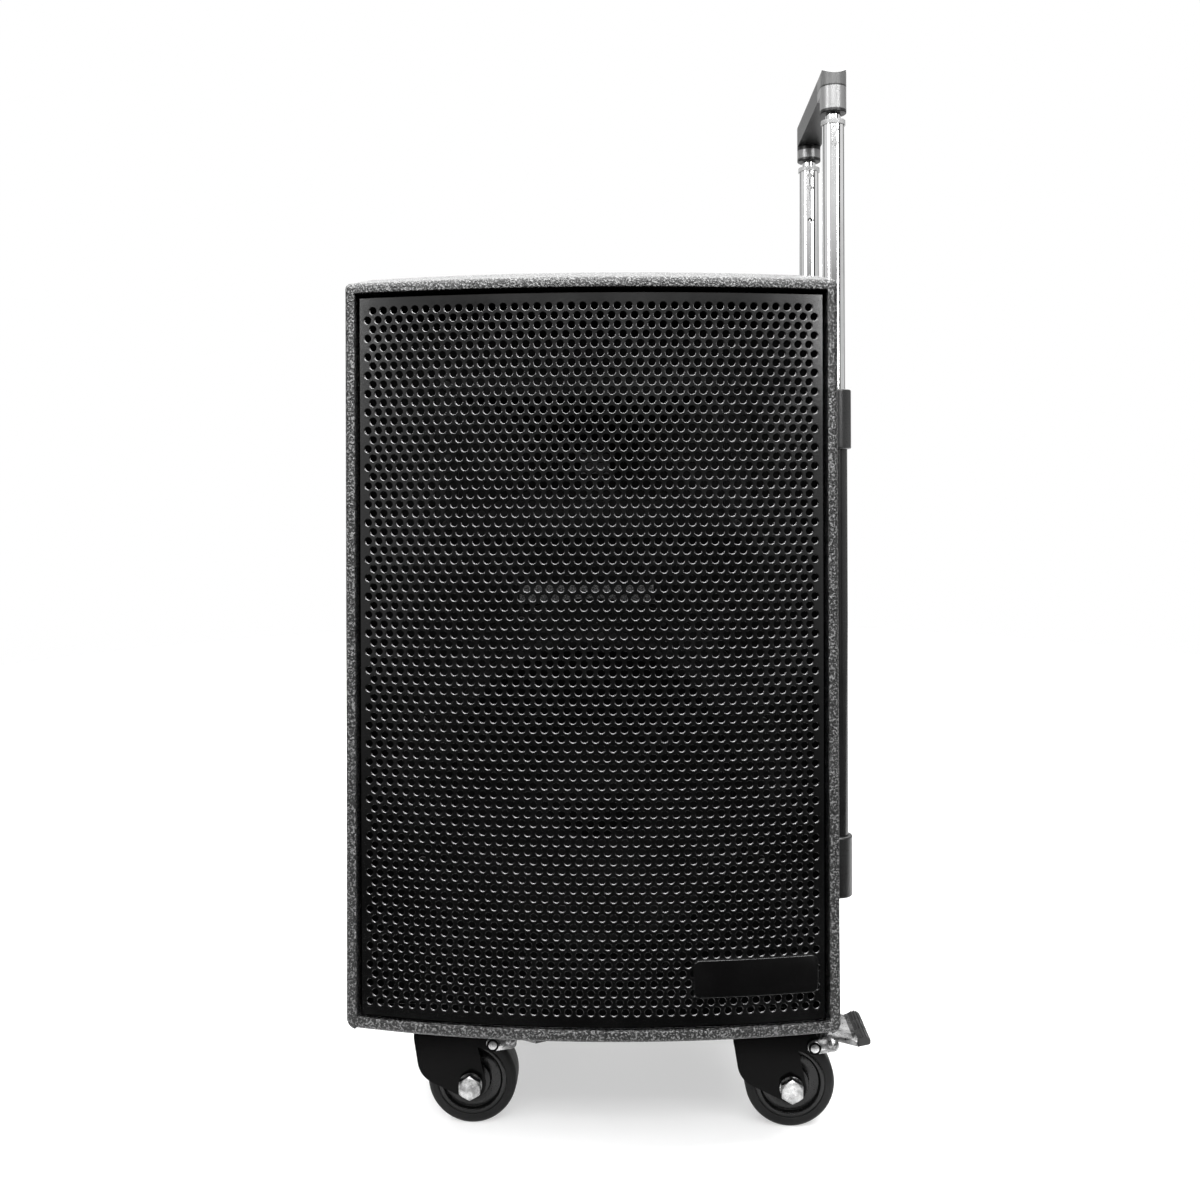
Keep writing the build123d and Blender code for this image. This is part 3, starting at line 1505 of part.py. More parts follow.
def brake_pedal(x, y):
    """Foot pedal: two ears on the fork's rivets, a sloping tread and a rubber pad."""
    ear_inner = fork_outer + running_gap
    ear_outer = ear_inner + pedal_sheet
    pivot_x, pivot_z = pedal_pivot
    with BuildPart() as pedal:
        for side in (-1, 1):
            near = ear_inner if side > 0 else -ear_outer
            with BuildSketch(front_plane(x, y + near, 0)):
                with Locations(pedal_pivot):
                    Circle(5.5)
                with Locations(pedal_pin):
                    Circle(pedal_pin_radius + 1.5)
                make_hull()
            extrude(amount=-pedal_sheet)
        # tread plate across both ears, sloping down outwards, with a turned-up pad
        with BuildSketch(front_plane(x, y - ear_outer, 0)):
            with BuildLine():
                Polyline(
                    (pedal_pin[0] - 5, crown_z - 0.5),
                    (pedal_reach - 10, crown_z - 7),
                    (pedal_reach - 1, crown_z - 5),
                    (pedal_reach, crown_z - 1),
                    (pedal_reach - 6, crown_z + 2.5),
                    (pedal_reach - 14, crown_z - 1.2),
                    (pedal_pin[0] - 4, crown_top),
                    close=True,
                )
            make_face()
        extrude(amount=-2 * ear_outer)
        # the ears join the tread beside the pin
        for side in (-1, 1):
            near = ear_inner if side > 0 else -ear_outer
            box_between(
                (x + pedal_pin[0] - 5, y + near, pedal_pin[1]),
                (x + pedal_pin[0] + 5, y + near + pedal_sheet, crown_z),
            )
        # brake shoe over the tyre
        with BuildSketch(front_plane(x, y - shoe_width / 2, 0)):
            with BuildLine():
                Polyline(
                    shoe_tip,
                    (shoe_tip[0] + 4, shoe_tip[1] + 1.6),
                    (pedal_pin[0] - 1, crown_z - 0.4),
                    (pedal_pin[0] - 3, crown_z + 2),
                    (shoe_tip[0] + 3, crown_z),
                    close=True,
                )
            make_face()
        extrude(amount=-shoe_width)
        # cross pin
        with BuildSketch(front_plane(x + pedal_pin[0], y - ear_outer - 1.5, pedal_pin[1])):
            Circle(pedal_pin_radius)
        extrude(amount=-2 * (ear_outer + 1.5))
        with Locations(front_plane(x + pivot_x, y, pivot_z)):
            Cylinder(pedal_rivet_radius + running_gap, 4 * fork_outer, mode=Mode.SUBTRACT)
    return pedal


for name, (x, y) in caster_places.items():
    save(caster_fork(x, y, name in braked), f"caster_fork_{name}")
    save(caster_wheel(x, y), f"caster_wheel_{name}")
    save(caster_axle(x, y), f"caster_axle_{name}")
    if name in braked:
        save(brake_pedal(x, y), f"brake_pedal_{name}")
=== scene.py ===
import json
import math

import bmesh
import bpy
from mathutils import Matrix, Vector


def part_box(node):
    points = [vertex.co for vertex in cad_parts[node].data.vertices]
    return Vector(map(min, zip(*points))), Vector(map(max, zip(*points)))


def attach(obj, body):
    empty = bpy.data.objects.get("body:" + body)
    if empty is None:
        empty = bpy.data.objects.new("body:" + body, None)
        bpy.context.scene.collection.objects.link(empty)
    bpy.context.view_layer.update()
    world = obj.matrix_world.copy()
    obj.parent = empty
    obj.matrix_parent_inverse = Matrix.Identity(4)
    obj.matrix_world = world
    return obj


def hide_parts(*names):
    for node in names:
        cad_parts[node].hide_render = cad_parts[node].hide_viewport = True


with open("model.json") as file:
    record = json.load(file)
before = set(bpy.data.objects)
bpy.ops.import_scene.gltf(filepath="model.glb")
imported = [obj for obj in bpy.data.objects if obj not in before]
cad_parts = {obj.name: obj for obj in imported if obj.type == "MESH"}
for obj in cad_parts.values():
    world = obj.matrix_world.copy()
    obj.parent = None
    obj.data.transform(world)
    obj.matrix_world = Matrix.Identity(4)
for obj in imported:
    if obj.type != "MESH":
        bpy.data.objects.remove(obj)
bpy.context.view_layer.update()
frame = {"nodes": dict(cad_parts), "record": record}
nodes = frame["nodes"]

MM = 0.001

# ---------------------------------------------------------------------------
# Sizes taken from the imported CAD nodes, in metres
# ---------------------------------------------------------------------------
left_low, left_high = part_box("left_side_panel")
right_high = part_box("right_side_panel")[1]
grille_low, grille_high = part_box("grille")
baffle_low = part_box("front_baffle")[0]
CENTRE_X = (left_low.x + right_high.x) / 2
HALF_WIDTH = (right_high.x - left_low.x) / 2
# the front is an arc that stands this far before the corners, the grille a little before the boards
FRONT_BULGE = 24.0 * MM
GRILLE_STEP = 2.5 * MM
CORNER_Y = grille_low.y + GRILLE_STEP + FRONT_BULGE
FRONT_RADIUS = (HALF_WIDTH**2 + FRONT_BULGE**2) / (2 * FRONT_BULGE)
ARC_Y = CORNER_Y + FRONT_RADIUS - FRONT_BULGE


# ---------------------------------------------------------------------------
# Materials
# ---------------------------------------------------------------------------
class Finish:
    """A procedural material: a Principled shader with noise-driven colour, roughness and bump."""

    def __init__(self, name, colour, roughness, metallic=0.0, specular=0.5):
        self.material = bpy.data.materials.new(name)
        self.material.use_nodes = True
        self.tree = self.material.node_tree
        self.shader = self.tree.nodes["Principled BSDF"]
        self.shader.inputs["Base Color"].default_value = (*colour, 1)
        self.shader.inputs["Roughness"].default_value = roughness
        self.shader.inputs["Metallic"].default_value = metallic
        self.shader.inputs["Specular IOR Level"].default_value = specular
        self.coords = self.tree.nodes.new("ShaderNodeTexCoord").outputs["Object"]
        self.normal = None

    def stretched(self, x=1.0, y=1.0, z=1.0):
        """Object coordinates scaled per axis, for brushed or streaked finishes."""
        mapping = self.tree.nodes.new("ShaderNodeMapping")
        mapping.inputs["Scale"].default_value = (x, y, z)
        self.tree.links.new(self.coords, mapping.inputs["Vector"])
        return mapping.outputs["Vector"]

    def noise(self, scale, detail=2.0, rough=0.5, coords=None, distortion=0.0):
        node = self.tree.nodes.new("ShaderNodeTexNoise")
        node.inputs["Scale"].default_value = scale
        node.inputs["Detail"].default_value = detail
        node.inputs["Roughness"].default_value = rough
        node.inputs["Distortion"].default_value = distortion
        self.tree.links.new(coords or self.coords, node.inputs["Vector"])
        return node.outputs["Fac"]

    def cells(self, scale, smooth=True):
        node = self.tree.nodes.new("ShaderNodeTexVoronoi")
        node.feature = "SMOOTH_F1" if smooth else "F1"
        node.inputs["Scale"].default_value = scale
        self.tree.links.new(self.coords, node.inputs["Vector"])
        return node.outputs["Distance"]

    def wave(self, scale, direction, distortion=0.0):
        node = self.tree.nodes.new("ShaderNodeTexWave")
        node.bands_direction = direction
        node.inputs["Scale"].default_value = scale
        node.inputs["Distortion"].default_value = distortion
        self.tree.links.new(self.coords, node.inputs["Vector"])
        return node.outputs["Fac"]

    def ramp(self, value, low, high, start=0.35, end=0.65):
        """Colour ramp between two colours."""
        node = self.tree.nodes.new("ShaderNodeValToRGB")
        node.color_ramp.elements[0].position = start
        node.color_ramp.elements[0].color = (*low, 1)
        node.color_ramp.elements[1].position = end
        node.color_ramp.elements[1].color = (*high, 1)
        self.tree.links.new(value, node.inputs["Fac"])
        return node.outputs["Color"]

    def remap(self, value, low, high, start=0.3, end=0.7):
        """A value between start and end moved to between low and high."""
        node = self.tree.nodes.new("ShaderNodeMapRange")
        node.inputs["From Min"].default_value = start
        node.inputs["From Max"].default_value = end
        node.inputs["To Min"].default_value = low
        node.inputs["To Max"].default_value = high
        self.tree.links.new(value, node.inputs["Value"])
        return node.outputs["Result"]

    def combine(self, operation, first, second):
        node = self.tree.nodes.new("ShaderNodeMath")
        node.operation = operation
        self.tree.links.new(first, node.inputs[0])
        self.tree.links.new(second, node.inputs[1])
        return node.outputs["Value"]

    def multiply(self, first, second):
        return self.combine("MULTIPLY", first, second)

    def add(self, first, second):
        return self.combine("ADD", first, second)

    def colour_from(self, colour):
        self.tree.links.new(colour, self.shader.inputs["Base Color"])

    def roughness_from(self, value):
        self.tree.links.new(value, self.shader.inputs["Roughness"])

    def bump(self, height, strength, distance):
        """Bump of a real height in metres; later calls stack on earlier ones."""
        node = self.tree.nodes.new("ShaderNodeBump")
        node.inputs["Strength"].default_value = strength
        node.inputs["Distance"].default_value = distance
        self.tree.links.new(height, node.inputs["Height"])
        if self.normal:
            self.tree.links.new(self.normal, node.inputs["Normal"])
        self.normal = node.outputs["Normal"]
        self.tree.links.new(self.normal, self.shader.inputs["Normal"])


def grey(value):
    return (value, value, value)


def spatter_paint():
    """Thick black spatter paint on wood: raised grains painted paler than the hollows between them, a
    painted highlight on the grain tops and painted shade in the hollows.
    """
    f = Finish("spatter_paint", grey(0.02), 0.40, specular=0.5)
    warp = f.noise(450.0, 2.0, 0.6)
    grains = f.noise(620.0, 3.0, 0.55)
    pits = f.cells(560.0)
    # painted light: the raised grains are coloured paler than the hollows, a painted highlight on the tops
    # and painted shade between them
    f.colour_from(f.ramp(grains, grey(0.001), grey(0.15), 0.51, 0.60))
    f.roughness_from(f.remap(pits, 0.28, 0.48, 0.1, 0.6))
    f.bump(pits, 0.55, 0.7 * MM)
    f.bump(grains, 1.0, 1.4 * MM)
    f.bump(warp, 0.25, 0.6 * MM)
    return f


def sheet_enamel(name="sheet_enamel", value=0.002, specular=0.8):
    """Powder-coated steel with a fine orange peel."""
    f = Finish(name, grey(value), 0.26, specular=specular)
    peel = f.noise(1100.0, 2.0, 0.5)
    patches = f.noise(22.0, 3.0, 0.5)
    f.colour_from(f.ramp(patches, grey(value * 0.8), grey(value * 1.3)))
    f.roughness_from(f.remap(patches, 0.16, 0.24))
    f.bump(peel, 0.12, 0.2 * MM)
    return f


def moulded(name, value, roughness, grain=1400.0, strength=0.25, specular=0.5):
    """Moulded black or grey plastic with a fine spark-eroded grain."""
    f = Finish(name, grey(value), roughness, specular=specular)
    fine = f.noise(grain, 3.0, 0.55)
    flow = f.noise(28.0, 2.0, 0.5)
    f.colour_from(f.ramp(flow, grey(value * 0.8), grey(value * 1.25)))
    f.roughness_from(f.remap(fine, roughness * 0.85, min(1.0, roughness * 1.15)))
    f.bump(fine, strength, 0.2 * MM)
    return f


def metal(name, value, roughness, streak=(1, 1, 1), scale=900.0, strength=0.1, mottling=0.12):
    """Plated or bare metal, cloudy in tone, with streaks along one axis where it is drawn."""
    f = Finish(name, grey(value), roughness, metallic=1.0)
    lines = f.noise(scale, 3.0, 0.6, coords=f.stretched(*streak))
    cloud = f.noise(90.0, 4.0, 0.6)
    low, high = value * (1 - mottling), min(1.0, value * (1 + mottling))
    f.colour_from(f.ramp(cloud, grey(low), grey(high)))
    f.roughness_from(f.remap(lines, roughness * 0.7, roughness * 1.4))
    f.bump(lines, strength, 0.1 * MM)
    return f


def tyre_rubber():
    """Black rubber with a little dust."""
    f = Finish("tyre_rubber", grey(0.006), 0.5, specular=0.2)
    fine = f.noise(1200.0, 3.0, 0.6)
    dust = f.noise(60.0, 5.0, 0.65)
    f.colour_from(f.ramp(dust, grey(0.002), grey(0.010), 0.35, 0.75))
    f.roughness_from(f.remap(dust, 0.45, 0.68))
    f.bump(fine, 0.35, 0.3 * MM)
    return f


def paper_cone():
    """Black pressed paper with fibres."""
    f = Finish("paper_cone", grey(0.003), 0.8, specular=0.1)
    fibres = f.noise(700.0, 5.0, 0.7, coords=f.stretched(1.0, 1.0, 3.0), distortion=0.6)
    f.colour_from(f.ramp(fibres, grey(0.0015), grey(0.005)))
    f.roughness_from(f.remap(fibres, 0.7, 0.9))
    f.bump(fibres, 0.4, 0.3 * MM)
    return f


def circuit_board():
    """Green solder mask over raised traces, with a gloss that changes from part to part."""
    f = Finish("circuit_board", (0.01, 0.06, 0.03), 0.35)
    traces = f.wave(180.0, "Z", distortion=6.0)
    parts = f.cells(160.0, smooth=False)
    f.colour_from(f.ramp(traces, (0.008, 0.05, 0.025), (0.03, 0.14, 0.06), 0.45, 0.55))
    f.roughness_from(f.remap(parts, 0.3, 0.5, 0.1, 0.6))
    f.bump(traces, 0.3, 0.1 * MM)
    return f


def laminated():
    """Stacked iron sheets of a transformer core."""
    f = Finish("laminated_iron", grey(0.12), 0.5, metallic=1.0)
    layers = f.wave(420.0, "Y")
    f.colour_from(f.ramp(layers, grey(0.05), grey(0.20)))
    f.roughness_from(f.remap(layers, 0.4, 0.65))
    f.bump(layers, 0.4, 0.2 * MM)
    return f


def dark_glass():
    """Smooth dark window with faint smears."""
    f = Finish("dark_glass", grey(0.006), 0.06)
    smear = f.noise(35.0, 4.0, 0.6)
    f.colour_from(f.ramp(smear, (0.004, 0.004, 0.006), (0.010, 0.010, 0.014)))
    f.roughness_from(f.remap(smear, 0.04, 0.12))
    return f


def felt_cloth():
    """Dark felt flecked with paler fluff."""
    f = Finish("felt_strip", grey(0.04), 0.9)
    fluff = f.noise(900.0, 5.0, 0.7)
    f.colour_from(f.ramp(fluff, grey(0.004), grey(0.16), 0.45, 0.62))
    f.bump(fluff, 0.8, 0.6 * MM)
    return f


def grip_with_painted_sheen():
    """Black soft bar whose end caps are painted silvery-grey and metallic, a painted sheen where the light
    falls on the caps, told apart by position along the grip.
    """
    f = Finish("grip_painted_sheen_ends", grey(0.02), 0.36, specular=0.3)
    axes = f.tree.nodes.new("ShaderNodeSeparateXYZ")
    f.tree.links.new(f.coords, axes.inputs["Vector"])
    low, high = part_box("grip_lower_shell")
    edge = 0.4 * MM
    near_cap_end = low.y + 27 * MM
    far_cap_start = high.y - 30 * MM
    far_cap_top = low.z + 11 * MM
    collar_top = low.z + 3 * MM
    seam_bottom = high.z - 0.6 * MM
    seam_top = high.z + 0.3 * MM
    # above the seam the painted sheen is weaker: this share of its full strength
    upper_painted_sheen = 0.35
    near = f.remap(axes.outputs["Y"], 1.0, 0.0, near_cap_end - edge, near_cap_end + edge)
    far = f.remap(axes.outputs["Y"], 0.0, 1.0, far_cap_start - edge, far_cap_start + edge)
    under = f.remap(axes.outputs["Z"], 1.0, 0.0, far_cap_top - edge, far_cap_top + edge)
    collar = f.remap(axes.outputs["Z"], 0.0, 1.0, collar_top - edge, collar_top + edge)
    below_seam = f.remap(axes.outputs["Z"], 1.0, 0.0, seam_bottom - edge, seam_bottom)
    above_seam = f.remap(axes.outputs["Z"], 0.0, upper_painted_sheen, seam_top, seam_top + edge)
    seam = f.add(below_seam, above_seam)
    # painted sheen: the near cap and the foot of the far cap, where the light falls, are painted
    # silvery-grey and made metallic
    painted_sheen = f.multiply(f.multiply(f.add(near, f.multiply(far, under)), collar), seam)
    fine = f.noise(1500.0, 3.0, 0.6)
    sparkle = f.noise(2600.0, 2.0, 0.5)
    tone = f.multiply(painted_sheen, f.remap(sparkle, 0.7, 1.0))
    # the painted sheen's pale colour, flecked by the sparkle noise, over the black plastic
    f.colour_from(f.ramp(tone, grey(0.008), grey(0.22), 0.0, 1.0))
    f.roughness_from(f.remap(fine, 0.30, 0.42))
    shine = f.multiply(f.multiply(painted_sheen, below_seam), f.remap(sparkle, 0.5, 0.7))
    f.tree.links.new(shine, f.shader.inputs["Metallic"])
    f.bump(fine, 0.25, 0.2 * MM)
    return f


ALONG_TUBE = (1.0, 1.0, 0.05)
finishes = {
    "textured_paint": spatter_paint(),
    "grille_steel": sheet_enamel(),
    "badge_plastic": moulded("gloss_badge", 0.003, 0.12, grain=500.0, strength=0.02, specular=0.4),
    "horn_plastic": moulded("horn_plastic_fine", 0.0025, 0.6, specular=0.12),
    "speaker_steel": moulded("basket_enamel", 0.0025, 0.6, specular=0.12),
    "cone_paper": paper_cone(),
    "surround_foam": moulded("surround_rubber", 0.0025, 0.7, grain=900.0, specular=0.12),
    "magnet_iron": metal("magnet_iron_grey", 0.22, 0.45, mottling=0.3),
    "coil_former": moulded("coil_varnish", 0.05, 0.4),
    "screw_steel": metal("black_zinc", 0.06, 0.32, mottling=0.3),
    "circuit_board": circuit_board(),
    "battery_case": moulded("battery_case_grey", 0.03, 0.5),
    "amp_plate": moulded("panel_powder_coat", 0.014, 0.42, grain=900.0, strength=0.3),
    "window_glass": dark_glass(),
    "socket_plastic": moulded("socket_moulding", 0.010, 0.35),
    "knob_plastic": moulded("knob_rubberised", 0.013, 0.48),
    "port_plastic": moulded("port_moulding", 0.010, 0.4),
    "laminations": laminated(),
    "bracket_plastic": moulded("bracket_moulding", 0.012, 0.30, grain=1600.0, strength=0.12),
    "black_tube": moulded("tube_enamel", 0.008, 0.22, grain=300.0, strength=0.05),
    "chrome_tube": metal(
        "bright_chrome", 0.86, 0.09, streak=ALONG_TUBE, scale=700.0, strength=0.02, mottling=0.03
    ),
    "collar_plastic": moulded("collar_moulding", 0.22, 0.35, strength=0.1),
    "grip_black": grip_with_painted_sheen(),
    "caster_steel": sheet_enamel("caster_enamel", 0.001, 0.06),
    "wheel_rubber": tyre_rubber(),
    "wheel_hub": moulded("hub_nylon", 0.002, 0.25, grain=800.0, strength=0.06, specular=0.3),
    "zinc": metal("bright_zinc", 0.34, 0.30, scale=500.0, strength=0.3, mottling=0.65),
    "pedal_pad": moulded("pedal_rubber", 0.018, 0.5, grain=700.0, strength=0.3),
}
# the upper shell's slot gets the same black grip material, with its painted sheen
finishes["grip_silver"] = finishes["grip_black"]


def paint_node(node, finish):
    """Gives a CAD node its material."""
    materials = nodes[node].data.materials
    materials.clear()
    materials.append(finish.material)


for part in frame["record"]["subparts"]:
    paint_node(part["node"], finishes[part["material_slot"]])
felt = felt_cloth()
paint_node("stage_1_rivets", metal("pin_zinc", 0.22, 0.35, scale=800.0, mottling=0.3))


# ---------------------------------------------------------------------------
# Mesh helpers
# ---------------------------------------------------------------------------
def finished(mesh, body, slot, finish=None, smooth_angle=35.0):
    """An object of the mesh, with its finish, that rides on a CAD body."""
    obj = bpy.data.objects.new(mesh.name, mesh)
    bpy.context.scene.collection.objects.link(obj)
    mesh.materials.append((finish or finishes[slot]).material)
    mesh.shade_smooth()
    mesh.set_sharp_from_angle(angle=math.radians(smooth_angle))
    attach(obj, body)
    return obj


def piece(name, vertices, faces, body, slot, finish=None, smooth_angle=35.0):
    """A piece made of the vertices and faces."""
    mesh = bpy.data.meshes.new(name)
    mesh.from_pydata([tuple(v) for v in vertices], [], [tuple(f) for f in faces])
    mesh.validate()
    mesh.update()
    return finished(mesh, body, slot, finish, smooth_angle)


def cad_copy(node):
    """The CAD node's mesh as an editable copy with its vertices joined."""
    bm = bmesh.new()
    bm.from_mesh(nodes[node].data)
    bmesh.ops.remove_doubles(bm, verts=bm.verts, dist=1e-6)
    return bm


def flat_faced(bm):
    """Joins the triangles of each flat face."""
    flat = math.radians(0.2)
    bmesh.ops.dissolve_limit(bm, angle_limit=flat, verts=bm.verts, edges=bm.edges)
    bm.normal_update()


def bevel(bm, edges, radius, segments):
    """Rounds the edges, if there are any."""
    if edges:
        bmesh.ops.bevel(
            bm, geom=edges, offset=radius, segments=segments, profile=0.5, affect="EDGES"
        )


def replacing(bm, name, node, body, slot, smooth_angle):
    """A finished piece of the edited copy, in place of the CAD node."""
    mesh = bpy.data.meshes.new(name)
    bm.to_mesh(mesh)
    bm.free()
    obj = finished(mesh, body, slot, smooth_angle=smooth_angle)
    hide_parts(node)
    return obj


def keep_in_box(bm, node):
    """Moves vertices that left the CAD node's box back onto it."""
    node_low, node_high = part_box(node)
    for vert in bm.verts:
        for k in range(3):
            vert.co[k] = min(max(vert.co[k], node_low[k]), node_high[k])


def turned(profile, axis_point, axis, steps):
    """Vertices and faces of a closed profile [(along, radius)] turned round an axis."""
    axis = Vector(axis).normalized()
    side = axis.orthogonal().normalized()
    up = axis.cross(side)
    origin = Vector(axis_point)
    vertices, faces = [], []
    count = len(profile)
    for k in range(steps):
        angle = 2 * math.pi * k / steps
        spoke = side * math.cos(angle) + up * math.sin(angle)
        for along, radius in profile:
            vertices.append(origin + axis * along + spoke * radius)
    for k in range(steps):
        here, there = k * count, (k + 1) % steps * count
        for i in range(count):
            j = (i + 1) % count
            faces.append((here + i, here + j, there + j, there + i))
    return vertices, faces


# ---------------------------------------------------------------------------
# Perforated grille: a curved sheet with 76 staggered rows of round holes
# ---------------------------------------------------------------------------
SHEET = 1.2 * MM
EDGE_ROUND = 1.4 * MM
ROWS = 76
FULL_ROW = 41
PITCH = 8.88 * MM
FIRST_ROW_DROP = 11.5 * MM
FIELD_HEIGHT = 546.5 * MM
ROW_PITCH = FIELD_HEIGHT / (ROWS - 1)
HOLE_RADIUS = 3.45 * MM
HOLE_TAPER = 0.70 * MM
HOLE_SIDES = 12
BEND_STEPS = 3
TINY_AREA = 1e-12
# how far the hole wall's shading leans to the front, at the front and at the back of the sheet
RIM_LEAN_FRONT = (1.0, 0.25)
RIM_LEAN_BACK = (0.62, 0.78)


def grille_sheet():
    """The whole sheet: skins round the holes, hole walls, bent edges and the edge flange."""
    radius = ARC_Y - grille_low.y
    back_y = baffle_low.y
    half = (grille_high.x - grille_low.x) / 2
    z_low, z_high = grille_low.z, grille_high.z
    first_z = z_high - FIRST_ROW_DROP
    full_turn = 2 * math.pi

    def place(s, z, depth):
        """The point at arc length s and height z, at a depth behind the front skin."""
        angle = s / radius
        reach = radius - depth
        return (CENTRE_X + reach * math.sin(angle), ARC_Y - reach * math.cos(angle), z)

    def facing(s):
        return Vector((math.sin(s / radius), -math.cos(s / radius), 0))

    vertices, faces, normals = [], [], []

    def add_vertex(point):
        vertices.append(point)
        return len(vertices) - 1

    def add_face(loop, loop_normals):
        faces.append(loop)
        normals.extend(loop_normals)

    columns = 2 * FULL_ROW + 1
    edge_s = radius * math.asin((half - EDGE_ROUND) / radius)
    s_lines = [-edge_s] + [(k - FULL_ROW) * PITCH / 2 for k in range(columns)] + [edge_s]
    row_lines = [first_z + ROW_PITCH * (0.5 - j) for j in range(ROWS + 1)]
    z_lines = [z_high - EDGE_ROUND] + row_lines + [z_low + EDGE_ROUND]
    last_s, last_z = len(s_lines) - 1, len(z_lines) - 1

    # the front skin is at depth 0 and faces forward, the back skin faces back
    skin_sides = {0.0: 1, SHEET: -1}
    skins = {}
    for depth in skin_sides:
        skins[depth] = [[add_vertex(place(s, z, depth)) for s in s_lines] for z in z_lines]

    ring_angles = [full_turn * (k + 0.5) / HOLE_SIDES for k in range(HOLE_SIDES)]

    def starts_hole(row, column):
        """True where a hole takes the cell and the next one: every other cell, row by row."""
        in_field = 1 <= row <= ROWS and 1 <= column <= last_s - 3
        return in_field and (column - 1) % 2 == row % 2

    def plain_cell(row, column):
        corners = [(row, column), (row, column + 1), (row + 1, column + 1), (row + 1, column)]
        for depth, side in skin_sides.items():
            order = corners[::-1] if side > 0 else corners
            loop = [skins[depth][r][c] for r, c in order]
            add_face(loop, [facing(s_lines[c]) * side for _, c in order])

    def stitch(outline, angles, ring, skin, normal, side):
        """Triangles between the cell's outline and the hole's ring, going round both."""
        i = k = 0
        for _ in range(len(outline) + HOLE_SIDES):
            corners = len(outline)
            outer_next = angles[(i + 1) % corners] + (full_turn if i + 1 >= corners else 0)
            ring_next = ring_angles[(k + 1) % HOLE_SIDES] + (full_turn if k + 1 >= HOLE_SIDES else 0)
            here_row, here_column = outline[i % corners]
            triangle = [ring[k % HOLE_SIDES], skin[here_row][here_column]]
            if i < corners and (outer_next <= ring_next or k >= HOLE_SIDES):
                next_row, next_column = outline[(i + 1) % corners]
                triangle.append(skin[next_row][next_column])
                i += 1
            else:
                triangle.append(ring[(k + 1) % HOLE_SIDES])
                k += 1
            add_face(triangle if side > 0 else triangle[::-1], [normal * side] * 3)

    def hole(row, column):
        middle_s = s_lines[column + 1]
        middle_z = (z_lines[row] + z_lines[row + 1]) / 2
        outward = facing(middle_s)
        along = Vector((-outward.y, outward.x, 0))
        rings = {}
        for depth, r in ((0.0, HOLE_RADIUS), (SHEET, HOLE_RADIUS - HOLE_TAPER)):
            rings[depth] = [
                add_vertex(place(middle_s + r * math.cos(a), middle_z + r * math.sin(a), depth))
                for a in ring_angles
            ]
        rim = [(row, column + k) for k in range(3)] + [(row + 1, column + k) for k in (2, 1, 0)]

        def rim_angle(point):
            up, right = z_lines[point[0]] - middle_z, s_lines[point[1]] - middle_s
            return math.atan2(up, right) % full_turn

        outline = sorted(rim, key=rim_angle)
        angles = [rim_angle(point) for point in outline]
        for depth, side in skin_sides.items():
            stitch(outline, angles, rings[depth], skins[depth], outward, side)

        def leaning(lean, a):
            inward = -(along * math.cos(a) + Vector((0, 0, math.sin(a))))
            return (outward * lean[0] + inward * lean[1]).normalized()

        for k in range(HOLE_SIDES):
            n = (k + 1) % HOLE_SIDES
            here, there = ring_angles[k], ring_angles[n]
            wall = [rings[0.0][k], rings[0.0][n], rings[SHEET][n], rings[SHEET][k]]
            front = [leaning(RIM_LEAN_FRONT, here), leaning(RIM_LEAN_FRONT, there)]
            back = [leaning(RIM_LEAN_BACK, there), leaning(RIM_LEAN_BACK, here)]
            add_face(wall, front + back)

    for row in range(last_z):
        column = 0
        while column < last_s:
            if starts_hole(row, column):
                hole(row, column)
                column += 2
            else:
                plain_cell(row, column)
                column += 1

    # edges: a rounded bend, then a flange back to the baffle
    loop = [(0, c) for c in range(last_s)]
    loop += [(r, last_s) for r in range(last_z)]
    loop += [(last_z, c) for c in range(last_s, 0, -1)]
    loop += [(r, 0) for r in range(last_z, 0, -1)]
    count = len(loop)

    def away(r, c):
        return (
            (1 if c == last_s else -1 if c == 0 else 0),
            (1 if r == 0 else -1 if r == last_z else 0),
        )

    layers = [[skins[0.0][r][c] for r, c in loop]]
    layer_normals = [[facing(s_lines[c]) for r, c in loop]]
    for step in range(1, BEND_STEPS + 1):
        turn = math.pi / 2 * step / BEND_STEPS
        layer, layer_n = [], []
        for r, c in loop:
            dx, dz = away(r, c)
            base = Vector(place(s_lines[c], z_lines[r], EDGE_ROUND * (1 - math.cos(turn))))
            base.x += dx * EDGE_ROUND * math.sin(turn)
            base.z += dz * EDGE_ROUND * math.sin(turn)
            layer.append(add_vertex(tuple(base)))
            out = Vector((dx, 0, dz)).normalized()
            bent = facing(s_lines[c]) * math.cos(turn) + out * math.sin(turn)
            layer_n.append(bent.normalized())
        layers.append(layer)
        layer_normals.append(layer_n)
    outer_foot, inner_foot = [], []
    for i, (r, c) in enumerate(loop):
        dx, dz = away(r, c)
        x, _, z = vertices[layers[-1][i]]
        outer_foot.append(add_vertex((x, back_y, z)))
        inner_foot.append(add_vertex((x - dx * SHEET, back_y, z - dz * SHEET)))
    layers += [outer_foot, inner_foot, [skins[SHEET][r][c] for r, c in loop]]
    for a in range(len(layers) - 1):
        for i in range(count):
            j = (i + 1) % count
            quad = [layers[a][i], layers[a][j], layers[a + 1][j], layers[a + 1][i]]
            if a < BEND_STEPS:
                quad_n = [
                    layer_normals[a][i],
                    layer_normals[a][j],
                    layer_normals[a + 1][j],
                    layer_normals[a + 1][i],
                ]
            else:
                p = [Vector(vertices[v]) for v in quad]
                flat = (p[1] - p[0]).cross(p[2] - p[0])
                if flat.length < TINY_AREA:
                    flat = (p[2] - p[0]).cross(p[3] - p[0])
                quad_n = [flat.normalized()] * 4
            quad = quad[::-1]
            quad_n = [-n for n in quad_n[::-1]] if a >= BEND_STEPS else quad_n[::-1]
            add_face(quad, quad_n)

